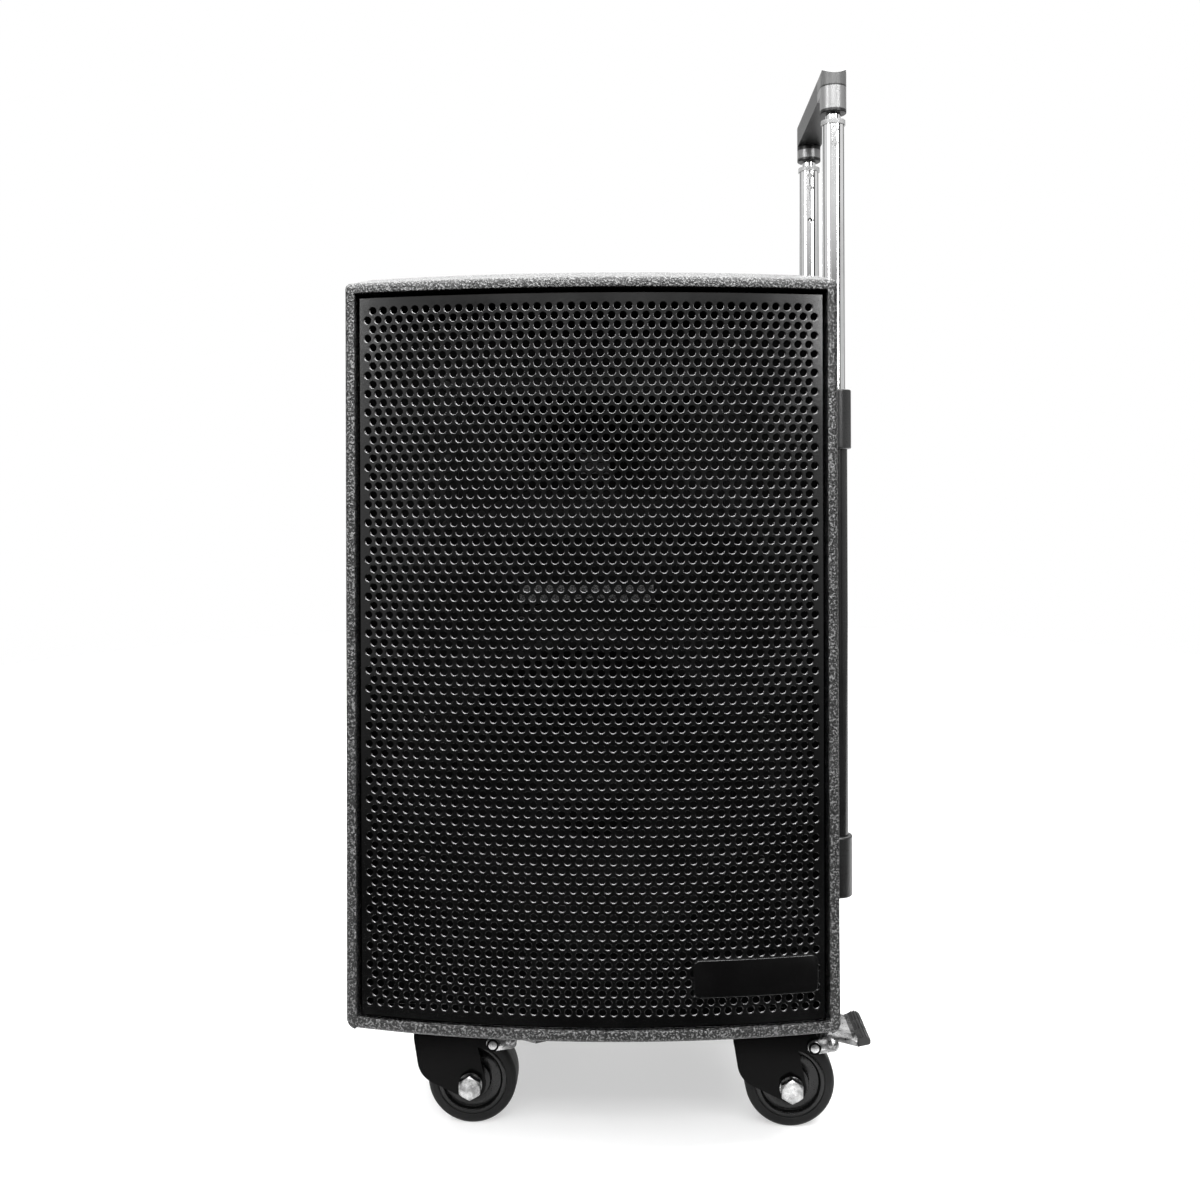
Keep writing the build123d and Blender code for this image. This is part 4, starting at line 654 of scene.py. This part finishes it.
    mesh = bpy.data.meshes.new("grille_perforated")
    mesh.from_pydata(vertices, [], faces)
    mesh.shade_smooth()
    mesh.normals_split_custom_set([tuple(n) for n in normals])
    obj = bpy.data.objects.new("grille_perforated", mesh)
    bpy.context.scene.collection.objects.link(obj)
    mesh.materials.append(finishes["grille_steel"].material)
    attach(obj, "cabinet")
    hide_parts("grille")


grille_sheet()


# ---------------------------------------------------------------------------
# Cabinet boards with rounded outer edges
# ---------------------------------------------------------------------------
EDGE_RADIUS = 4.0 * MM
LIP_RADIUS = 0.9 * MM
BADGE_EDGE = 0.6 * MM
SHARP = math.radians(25)
BOARD = 12 * MM
TOP_SLOPE = 18.5 * MM
FRONT_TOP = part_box("top_panel")[1].z - TOP_SLOPE
NEAR = 0.05 * MM
BEHIND_FRONT = 1 * MM


def is_outer(face):
    """True for a face of the cabinet's outside."""
    n, c = face.normal, face.calc_center_median()
    if abs(n.x) > 0.99:
        return abs(c.x - CENTRE_X) > HALF_WIDTH - NEAR
    if n.z > 0.9:
        return c.z > FRONT_TOP - NEAR
    if n.z < -0.99:
        return c.z < left_low.z + NEAR
    if n.y > 0.99:
        return c.y > left_high.y - NEAR
    return n.y < -0.9 and c.y < CORNER_Y + BEHIND_FRONT


def is_lip(edge):
    """True for an edge of the mouth round the grille, except at the seams between boards."""
    front = [f for f in edge.link_faces if is_outer(f)][0]
    other = [f for f in edge.link_faces if not is_outer(f)][0]
    into_mouth = abs(other.normal.y) < 0.1 and front.normal.y < -0.9
    middle = (edge.verts[0].co + edge.verts[1].co) / 2
    on_seam = abs(abs(middle.x - CENTRE_X) - (HALF_WIDTH - BOARD)) < NEAR
    return into_mouth and not (on_seam and abs(other.normal.x) > 0.9)


def sharp_edges(bm):
    return [e for e in bm.edges if len(e.link_faces) == 2 and e.calc_face_angle(0) >= SHARP]


def rounded_board(node):
    """A copy of a CAD board whose outside edges and lip are rounded."""
    bm = cad_copy(node)
    flat_faced(bm)
    outside, lip = [], []
    for edge in sharp_edges(bm):
        outer = [is_outer(f) for f in edge.link_faces]
        if all(outer):
            outside.append(edge)
        elif any(outer) and is_lip(edge):
            lip.append(edge)
    bevel(bm, lip, LIP_RADIUS, 2)
    bevel(bm, [e for e in outside if e.is_valid], EDGE_RADIUS, 4)
    keep_in_box(bm, node)
    obj = replacing(bm, node + "_rounded", node, "cabinet", "textured_paint", 30)
    obj.modifiers.new("weighted_normals", "WEIGHTED_NORMAL").keep_sharp = True


for board_name in ("top_panel", "bottom_panel", "left_side_panel", "right_side_panel"):
    rounded_board(board_name)


def soft_edged(node, slot, radius):
    """A copy of a CAD piece with every sharp edge rounded by a small radius."""
    bm = cad_copy(node)
    flat_faced(bm)
    bevel(bm, sharp_edges(bm), radius, 3)
    keep_in_box(bm, node)
    replacing(bm, node + "_soft", node, "cabinet", slot, 35)


soft_edged("badge_plate", "badge_plastic", BADGE_EDGE)

# the baffle behind the grille is plain matt black, unlike the outside
paint_node(
    "front_baffle",
    moulded("baffle_matt_black", 0.002, 0.8, grain=600.0, strength=0.2, specular=0.08),
)


# ---------------------------------------------------------------------------
# Casters: tyres, hubs, hex bolts, brake pedals
# ---------------------------------------------------------------------------
CORNERS = ("front_left", "front_right", "rear_left", "rear_right")
WHEEL_RADIUS = 37.5 * MM
TYRE_INNER = 29.0 * MM
TYRE_HALF_WIDTH = 14.0 * MM
TYRE_SHOULDER = 4.6 * MM
TYRE_CROWN = 0.25 * MM
WHEEL_STEPS = 96
# half of the hub's section in millimetres: distance from the middle plane, radius
HUB_SECTION = (
    (13.2, 28.9), (13.4, 28.6), (13.4, 25.9), (13.1, 25.4), (10.8, 24.4), (10.4, 23.8),
    (10.4, 17.0), (10.7, 16.4), (14.4, 15.6), (14.9, 15.2), (15.0, 14.6), (15.0, 11.4),
    (15.3, 10.9), (19.0, 10.1), (19.5, 9.6), (19.5, 5.3),
)


def arc(centre, radius, start, end, steps):
    """Points of an arc in a profile, angles in degrees from the +along direction."""
    points = []
    for k in range(steps + 1):
        a = math.radians(start + (end - start) * k / steps)
        points.append((centre[0] + radius * math.cos(a), centre[1] + radius * math.sin(a)))
    return points


def wheel_pieces(corner):
    """Rubber tyre with round shoulders and a slight crown, and the hub inside it."""
    low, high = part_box("caster_wheel_" + corner)
    centre = ((low.x + high.x) / 2, (low.y + high.y) / 2, WHEEL_RADIUS)
    half = TYRE_HALF_WIDTH
    wall = WHEEL_RADIUS - TYRE_SHOULDER - 0.8 * MM
    shoulder_middle = WHEEL_RADIUS - TYRE_SHOULDER - TYRE_CROWN
    tyre = [(-half + 0.3 * MM, TYRE_INNER + 0.1 * MM), (-half, TYRE_INNER + 0.5 * MM)]
    tyre += [(-half, TYRE_INNER + 1.4 * MM), (-half, wall)]
    tyre += arc((-half + TYRE_SHOULDER, shoulder_middle), TYRE_SHOULDER, 180, 90, 7)
    tyre += [(0.0, WHEEL_RADIUS)]
    tyre += arc((half - TYRE_SHOULDER, shoulder_middle), TYRE_SHOULDER, 90, 0, 7)
    tyre += [(half, wall), (half, TYRE_INNER + 1.4 * MM)]
    tyre += [(half, TYRE_INNER + 0.5 * MM), (half - 0.3 * MM, TYRE_INNER + 0.1 * MM)]
    vertices, faces = turned(tyre, centre, (0, 1, 0), WHEEL_STEPS)
    obj = piece("tyre_" + corner, vertices, faces, "wheel_" + corner, "wheel_rubber")
    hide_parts("caster_wheel_" + corner)

    hub = [(-a * MM, r * MM) for a, r in HUB_SECTION[::-1]]
    hub += [(a * MM, r * MM) for a, r in HUB_SECTION]
    vertices, faces = turned(hub[::-1], centre, (0, 1, 0), WHEEL_STEPS)
    piece("hub_" + corner, vertices, faces, "wheel_" + corner, "wheel_hub", smooth_angle=40)


BOLT_HALF_FLATS = 8.75 * MM
BOLT_HEAD = 7.0 * MM
BOLT_CHAMFER = math.radians(32)
BOLT_FLAT_TOP = 0.93
BOLT_STEPS = 72
WASHER_RADIUS = 9.75 * MM
WASHER_THICKNESS = 1.5 * MM
SHAFT_RADIUS = 5.0 * MM


def hex_bolt(corner):
    """Axle bolt: shaft, washers, chamfered hex head and nut with its thread end."""
    low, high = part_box("caster_axle_" + corner)
    cx, cy = (low.x + high.x) / 2, (low.y + high.y) / 2
    cz = WHEEL_RADIUS
    reach = (high.y - low.y) / 2
    flats = BOLT_HALF_FLATS
    inner = reach - BOLT_HEAD
    washer = inner - WASHER_THICKNESS
    steps = BOLT_STEPS
    vertices, faces = [], []

    def ring(sign, rows):
        """A closed body of rows: functions of the angle that give (radius, distance from the middle)."""
        start = len(vertices)
        for row in rows:
            for k in range(steps):
                a = 2 * math.pi * k / steps
                r, d = row(a)
                vertices.append((cx + r * math.cos(a), cy + sign * d, cz + r * math.sin(a)))
        for j in range(len(rows) - 1):
            for k in range(steps):
                n = (k + 1) % steps
                quad = [
                    start + j * steps + k,
                    start + j * steps + n,
                    start + (j + 1) * steps + n,
                    start + (j + 1) * steps + k,
                ]
                faces.append(quad if sign < 0 else quad[::-1])
        for j, flip in ((0, True), (len(rows) - 1, False)):
            cap = [start + j * steps + k for k in range(steps)]
            faces.append(cap[::-1] if (flip == (sign < 0)) else cap)

    def hexagon(a):
        return flats / math.cos((a + math.pi / 6) % (math.pi / 3) - math.pi / 6)

    def head(a):
        drop = (hexagon(a) - flats * BOLT_FLAT_TOP) * math.tan(BOLT_CHAMFER)
        return hexagon(a), reach - drop

    def round_row(radius, distance):
        return lambda a: (radius, distance)

    def hexagon_row(inset, distance):
        return lambda a: (hexagon(a) - inset, distance)

    plate = WASHER_RADIUS
    dished_end = [
        round_row(flats * 0.86, reach - 0.05 * MM),
        round_row(flats * 0.2, reach - 0.1 * MM),
    ]
    thread_end = [
        round_row(5.6 * MM, reach),
        round_row(5.2 * MM, reach - 0.6 * MM),
        round_row(4.2 * MM, reach - 0.5 * MM),
        round_row(3.6 * MM, reach - 0.1 * MM),
    ]
    for sign, end in ((-1, dished_end), (1, thread_end)):
        ring(sign, [
            round_row(plate - 0.2 * MM, washer),
            round_row(plate, washer + 0.25 * MM),
            round_row(plate, inner - 0.25 * MM),
            round_row(plate - 0.25 * MM, inner),
        ])
        rows = [hexagon_row(0.15 * MM, inner), hexagon_row(0.0, inner + 0.2 * MM), head]
        ring(sign, rows + [round_row(flats * BOLT_FLAT_TOP, reach)] + end)
    ring(-1, [round_row(SHAFT_RADIUS, -washer), round_row(SHAFT_RADIUS, washer)])
    obj = piece("axle_bolt_" + corner, vertices, faces, "caster_" + corner, "zinc", smooth_angle=28)
    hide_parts("caster_axle_" + corner)


for corner_name in CORNERS:
    wheel_pieces(corner_name)
    hex_bolt(corner_name)

PAD_LENGTH = 11.0 * MM
PAD_HEIGHT = 80.0 * MM
# the rubber end's section in millimetres from the pedal's tip and the height above: three ribs on the tread
PAD_SECTION = (
    (-10.6, -6.9), (-1.6, -4.9), (-0.4, -4.2), (-0.05, -3.0), (-0.05, -1.2), (-0.6, -0.2),
    (-1.6, 0.9), (-2.2, 0.5), (-2.8, 1.6), (-3.6, 2.2), (-4.3, 1.3), (-5.1, 2.35), (-6.3, 2.2),
    (-7.1, 1.1), (-7.9, 1.7), (-9.0, 1.2), (-9.8, 0.3), (-10.9, 0.0),
)
# the rounded ends of the rubber: millimetres in from the side, share of the full section
PAD_ENDS = ((0.0, 0.86), (0.7, 0.96), (1.8, 1.0))
# one shallow slot in the rubber: millimetres from its middle, share of the full section
PAD_SLOT = ((-1.1, 1.0), (-0.7, 0.88), (0.7, 0.88), (1.1, 1.0))


def pedal_plate(corner):
    """Zinc pedal, cut short where its ribbed rubber end begins."""
    node = "brake_pedal_" + corner
    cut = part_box(node)[1].x - PAD_LENGTH
    bm = cad_copy(node)
    everything = bm.verts[:] + bm.edges[:] + bm.faces[:]
    bmesh.ops.bisect_plane(
        bm, geom=everything, plane_co=(cut, 0, 0), plane_no=(1, 0, 0), clear_outer=True
    )
    open_edges = [e for e in bm.edges if len(e.link_faces) == 1]
    bmesh.ops.holes_fill(bm, edges=open_edges, sides=0)
    bmesh.ops.recalc_face_normals(bm, faces=bm.faces)
    replacing(bm, "pedal_plate_" + corner, node, node, "zinc", 35)


def pedal_pad(corner):
    """The ribbed rubber end: the section in slices along the width, with two shallow slots."""
    node = "brake_pedal_" + corner
    low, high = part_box(node)
    points = [(high.x + x * MM, PAD_HEIGHT + z * MM) for x, z in PAD_SECTION]
    mid_x = sum(p[0] for p in points) / len(points)
    mid_z = sum(p[1] for p in points) / len(points)
    third = (high.y - low.y) / 3
    slices = [(low.y + inset * MM, share) for inset, share in PAD_ENDS]
    for k in (1, 2):
        slices += [(low.y + third * k + offset * MM, share) for offset, share in PAD_SLOT]
    slices += [(high.y - inset * MM, share) for inset, share in PAD_ENDS[::-1]]
    vertices, faces = [], []
    for y, share in slices:
        for x, z in points:
            vertices.append((mid_x + (x - mid_x) * share, y, mid_z + (z - mid_z) * share))
    count = len(points)
    for j in range(len(slices) - 1):
        for i in range(count):
            n = (i + 1) % count
            a, b = j * count, (j + 1) * count
            faces.append((a + i, b + i, b + n, a + n))
    faces.append(tuple(range(count)))
    faces.append(tuple(reversed(range(len(vertices) - count, len(vertices)))))
    piece("pedal_pad_" + corner, vertices, faces, node, "pedal_pad", smooth_angle=50)


RIVET_RADIUS = 5.15 * MM
RIVET_HEIGHT = 2.0 * MM
# shares of the height and of the radius
RIVET_PROFILE = (
    (0.0, 0.02), (0.0, 1.0), (0.5, 1.0), (0.85, 0.85), (1.05, 0.6), (1.12, 0.3), (1.14, 0.02),
)


def pedal_rivets(corner):
    """Bright domed heads over the fork's two rivet heads."""
    node = "caster_fork_" + corner
    low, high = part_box(node)
    for name, side, reach in (("outer", -1, low.y), ("inner", 1, high.y)):
        rim = [v.co for v in nodes[node].data.vertices if abs(v.co.y - reach) < NEAR]
        cx = (min(c.x for c in rim) + max(c.x for c in rim)) / 2
        cz = (min(c.z for c in rim) + max(c.z for c in rim)) / 2
        foot = (cx, reach - side * RIVET_HEIGHT, cz)
        dome = [(along * RIVET_HEIGHT, r * RIVET_RADIUS) for along, r in RIVET_PROFILE]
        vertices, faces = turned(dome, foot, (0, side, 0), 40)
        rivet = f"pedal_rivet_{name}_{corner}"
        piece(rivet, vertices, faces, "caster_" + corner, "zinc", smooth_angle=60)


for corner_name in CORNERS[:2]:
    pedal_plate(corner_name)
    pedal_pad(corner_name)
    pedal_rivets(corner_name)


# ---------------------------------------------------------------------------
# Felt strip between the woofer and the horn, seen through the holes
# ---------------------------------------------------------------------------
STRIP_LEFT = CENTRE_X - 58 * MM
STRIP_RIGHT = CENTRE_X + 50 * MM
STRIP_BOTTOM = 440.5 * MM
STRIP_TOP = 457.5 * MM
STRIP_THICKNESS = 2.2 * MM
STRIP_CORNER = 2.0 * MM
STRIP_CORNER_STEPS = 4


def felt_strip_piece():
    """A flat strip with round corners and softened front edges on the baffle."""
    low_x, high_x = STRIP_LEFT, STRIP_RIGHT
    low_z, high_z = STRIP_BOTTOM, STRIP_TOP
    back, front = baffle_low.y, baffle_low.y - STRIP_THICKNESS
    rows = ((0.0, back), (0.0, front + 0.8 * MM), (0.35 * MM, front + 0.25 * MM), (1.0 * MM, front))
    vertices, faces = [], []
    corner_round = STRIP_CORNER
    outline = []
    for cx, cz, start in (
        (high_x - corner_round, high_z - corner_round, 0),
        (low_x + corner_round, high_z - corner_round, 90),
        (low_x + corner_round, low_z + corner_round, 180),
        (high_x - corner_round, low_z + corner_round, 270),
    ):
        for k in range(STRIP_CORNER_STEPS + 1):
            a = math.radians(start + 90 * k / STRIP_CORNER_STEPS)
            outline.append((cx, cz, math.cos(a), math.sin(a)))
    for inset, y in rows:
        for cx, cz, ux, uz in outline:
            reach = corner_round - inset
            vertices.append((cx + reach * ux, y, cz + reach * uz))
    count = len(outline)
    for j in range(len(rows) - 1):
        for i in range(count):
            n = (i + 1) % count
            a, b = j * count, (j + 1) * count
            faces.append((a + i, b + i, b + n, a + n))
    faces.append(tuple(range(count)))
    faces.append(tuple(reversed(range(len(vertices) - count, len(vertices)))))
    piece("felt_strip", vertices, faces, "cabinet", "surround_foam", finish=felt)


felt_strip_piece()


# ---------------------------------------------------------------------------
# Stage: floor, world, lights, camera
# ---------------------------------------------------------------------------
FLOOR_GLOW = 0.5
FLOOR_RADIUS = 2.2
FLOOR_CENTRE_Y = 1.92
# how strongly each part of the world lights the object
WORLD_BASE = 0.015
WORLD_SIDES = 0.6
WORLD_HIGH = 0.75
WORLD_BACK = 0.3

scene = bpy.context.scene
bpy.ops.mesh.primitive_circle_add(
    vertices=160, radius=FLOOR_RADIUS, fill_type="NGON", location=(0, FLOOR_CENTRE_Y, 0)
)
floor = bpy.context.object
floor.name = "studio_floor"
floor_finish = Finish("studio_floor_white", grey(0.55), 0.9, specular=0.1)
floor_finish.shader.inputs["Emission Color"].default_value = (1, 1, 1, 1)
floor_finish.shader.inputs["Emission Strength"].default_value = FLOOR_GLOW
floor_finish.colour_from(floor_finish.ramp(floor_finish.noise(3.0), grey(0.54), grey(0.57)))
floor.data.materials.append(floor_finish.material)

# The world is plain white to the camera. As a light it glows at both sides, behind, and all
# round a little above the horizon, with a dark stripe at each side for the chrome to mirror.
world = bpy.data.worlds.new("studio")
world.use_nodes = True
scene.world = world
wt = world.node_tree
background = wt.nodes["Background"]
background.inputs["Color"].default_value = (1, 1, 1, 1)
direction = wt.nodes.new("ShaderNodeTexCoord")
split = wt.nodes.new("ShaderNodeSeparateXYZ")
wt.links.new(direction.outputs["Generated"], split.inputs["Vector"])


def world_math(operation, first, second=None):
    node = wt.nodes.new("ShaderNodeMath")
    node.operation = operation
    for socket, value in zip(node.inputs, (first, second)):
        if value is None:
            continue
        if isinstance(value, (int, float)):
            socket.default_value = value
        else:
            wt.links.new(value, socket)
    return node.outputs["Value"]


def world_band(value, start, end, strength):
    """Rises smoothly from 0 to the strength while the value goes from start to end."""
    node = wt.nodes.new("ShaderNodeMapRange")
    node.interpolation_type = "SMOOTHSTEP"
    node.inputs["From Min"].default_value = start
    node.inputs["From Max"].default_value = end
    node.inputs["To Max"].default_value = strength
    wt.links.new(value, node.inputs["Value"])
    return node.outputs["Result"]


# the limits of each band are parts of the view direction: x sideways, y behind, z up
sideways = world_math("ABSOLUTE", split.outputs["X"])
sides = world_band(sideways, 0.45, 0.58, WORLD_SIDES)
above = world_band(split.outputs["Z"], -0.25, 0.02, 1.0)
behind = world_band(split.outputs["Y"], 0.1, 0.7, WORLD_BACK)
high_up = world_band(split.outputs["Z"], 0.12, 0.24, WORLD_HIGH)
glow = world_math("MULTIPLY", world_math("ADD", sides, behind), above)
glow = world_math("MAXIMUM", glow, high_up)
stripe_start = world_band(sideways, 0.70, 0.74, 1.0)
stripe_end = world_band(sideways, 0.86, 0.90, 1.0)
stripe = world_math("SUBTRACT", stripe_start, stripe_end)
glow = world_math("MULTIPLY", glow, world_math("SUBTRACT", 1.0, stripe))
glow = world_math("ADD", glow, WORLD_BASE)
path = wt.nodes.new("ShaderNodeLightPath")
levels = wt.nodes.new("ShaderNodeMix")
levels.data_type = "FLOAT"
levels.inputs["B"].default_value = 1.0
wt.links.new(path.outputs["Is Camera Ray"], levels.inputs["Factor"])
wt.links.new(glow, levels.inputs["A"])
wt.links.new(levels.outputs["Result"], background.inputs["Strength"])


def softbox(name, location, target, width, height, power):
    """A rectangular light that the camera does not see."""
    light = bpy.data.lights.new(name, "AREA")
    light.shape = "RECTANGLE"
    light.size = width
    light.size_y = height
    light.energy = power
    obj = bpy.data.objects.new(name, light)
    scene.collection.objects.link(obj)
    obj.location = location
    towards = Vector(target) - Vector(location)
    obj.rotation_euler = towards.to_track_quat("-Z", "Y").to_euler()
    obj.visible_camera = False


# name: place, aim, width, height, power in watts
SOFTBOXES = {
    "top_strip": ((0, -0.75, 1.9), (0, -0.2, 0.35), 2.2, 0.32, 70),
    "key_front": ((0, -1.9, 1.75), (0, -0.15, 0.75), 1.7, 0.5, 30),
    "floor_wash": ((0, 1.4, 2.4), (0, 1.2, 0), 4.0, 2.0, 130),
    "left_high": ((-0.95, -0.75, 1.05), (-0.2, -0.15, 0.66), 0.25, 0.55, 9),
    "right_high": ((0.85, -0.9, 1.0), (0.2, -0.15, 0.62), 0.25, 0.55, 6),
}
for light_name, values in SOFTBOXES.items():
    softbox(light_name, *values)

CAMERA_PLACE = (0.0224, -1.1515, 0.5238)
CAMERA_LENS = 37.5
CAMERA_SHIFT = -0.0833
CAMERA_YAW = math.radians(1.8)
CAMERA_ROLL = math.radians(-0.2)
camera_data = bpy.data.cameras.new("camera")
camera_data.sensor_width = 36.0
camera_data.lens = CAMERA_LENS
camera_data.shift_y = CAMERA_SHIFT
camera = bpy.data.objects.new("camera", camera_data)
scene.collection.objects.link(camera)
aim = (
    Matrix.Rotation(CAMERA_YAW, 4, "Z")
    @ Matrix.Rotation(math.radians(90), 4, "X")
    @ Matrix.Rotation(CAMERA_ROLL, 4, "Z")
)
camera.matrix_world = Matrix.Translation(CAMERA_PLACE) @ aim
scene.camera = camera
scene.view_settings.view_transform = "Standard"
scene.view_settings.look = "None"
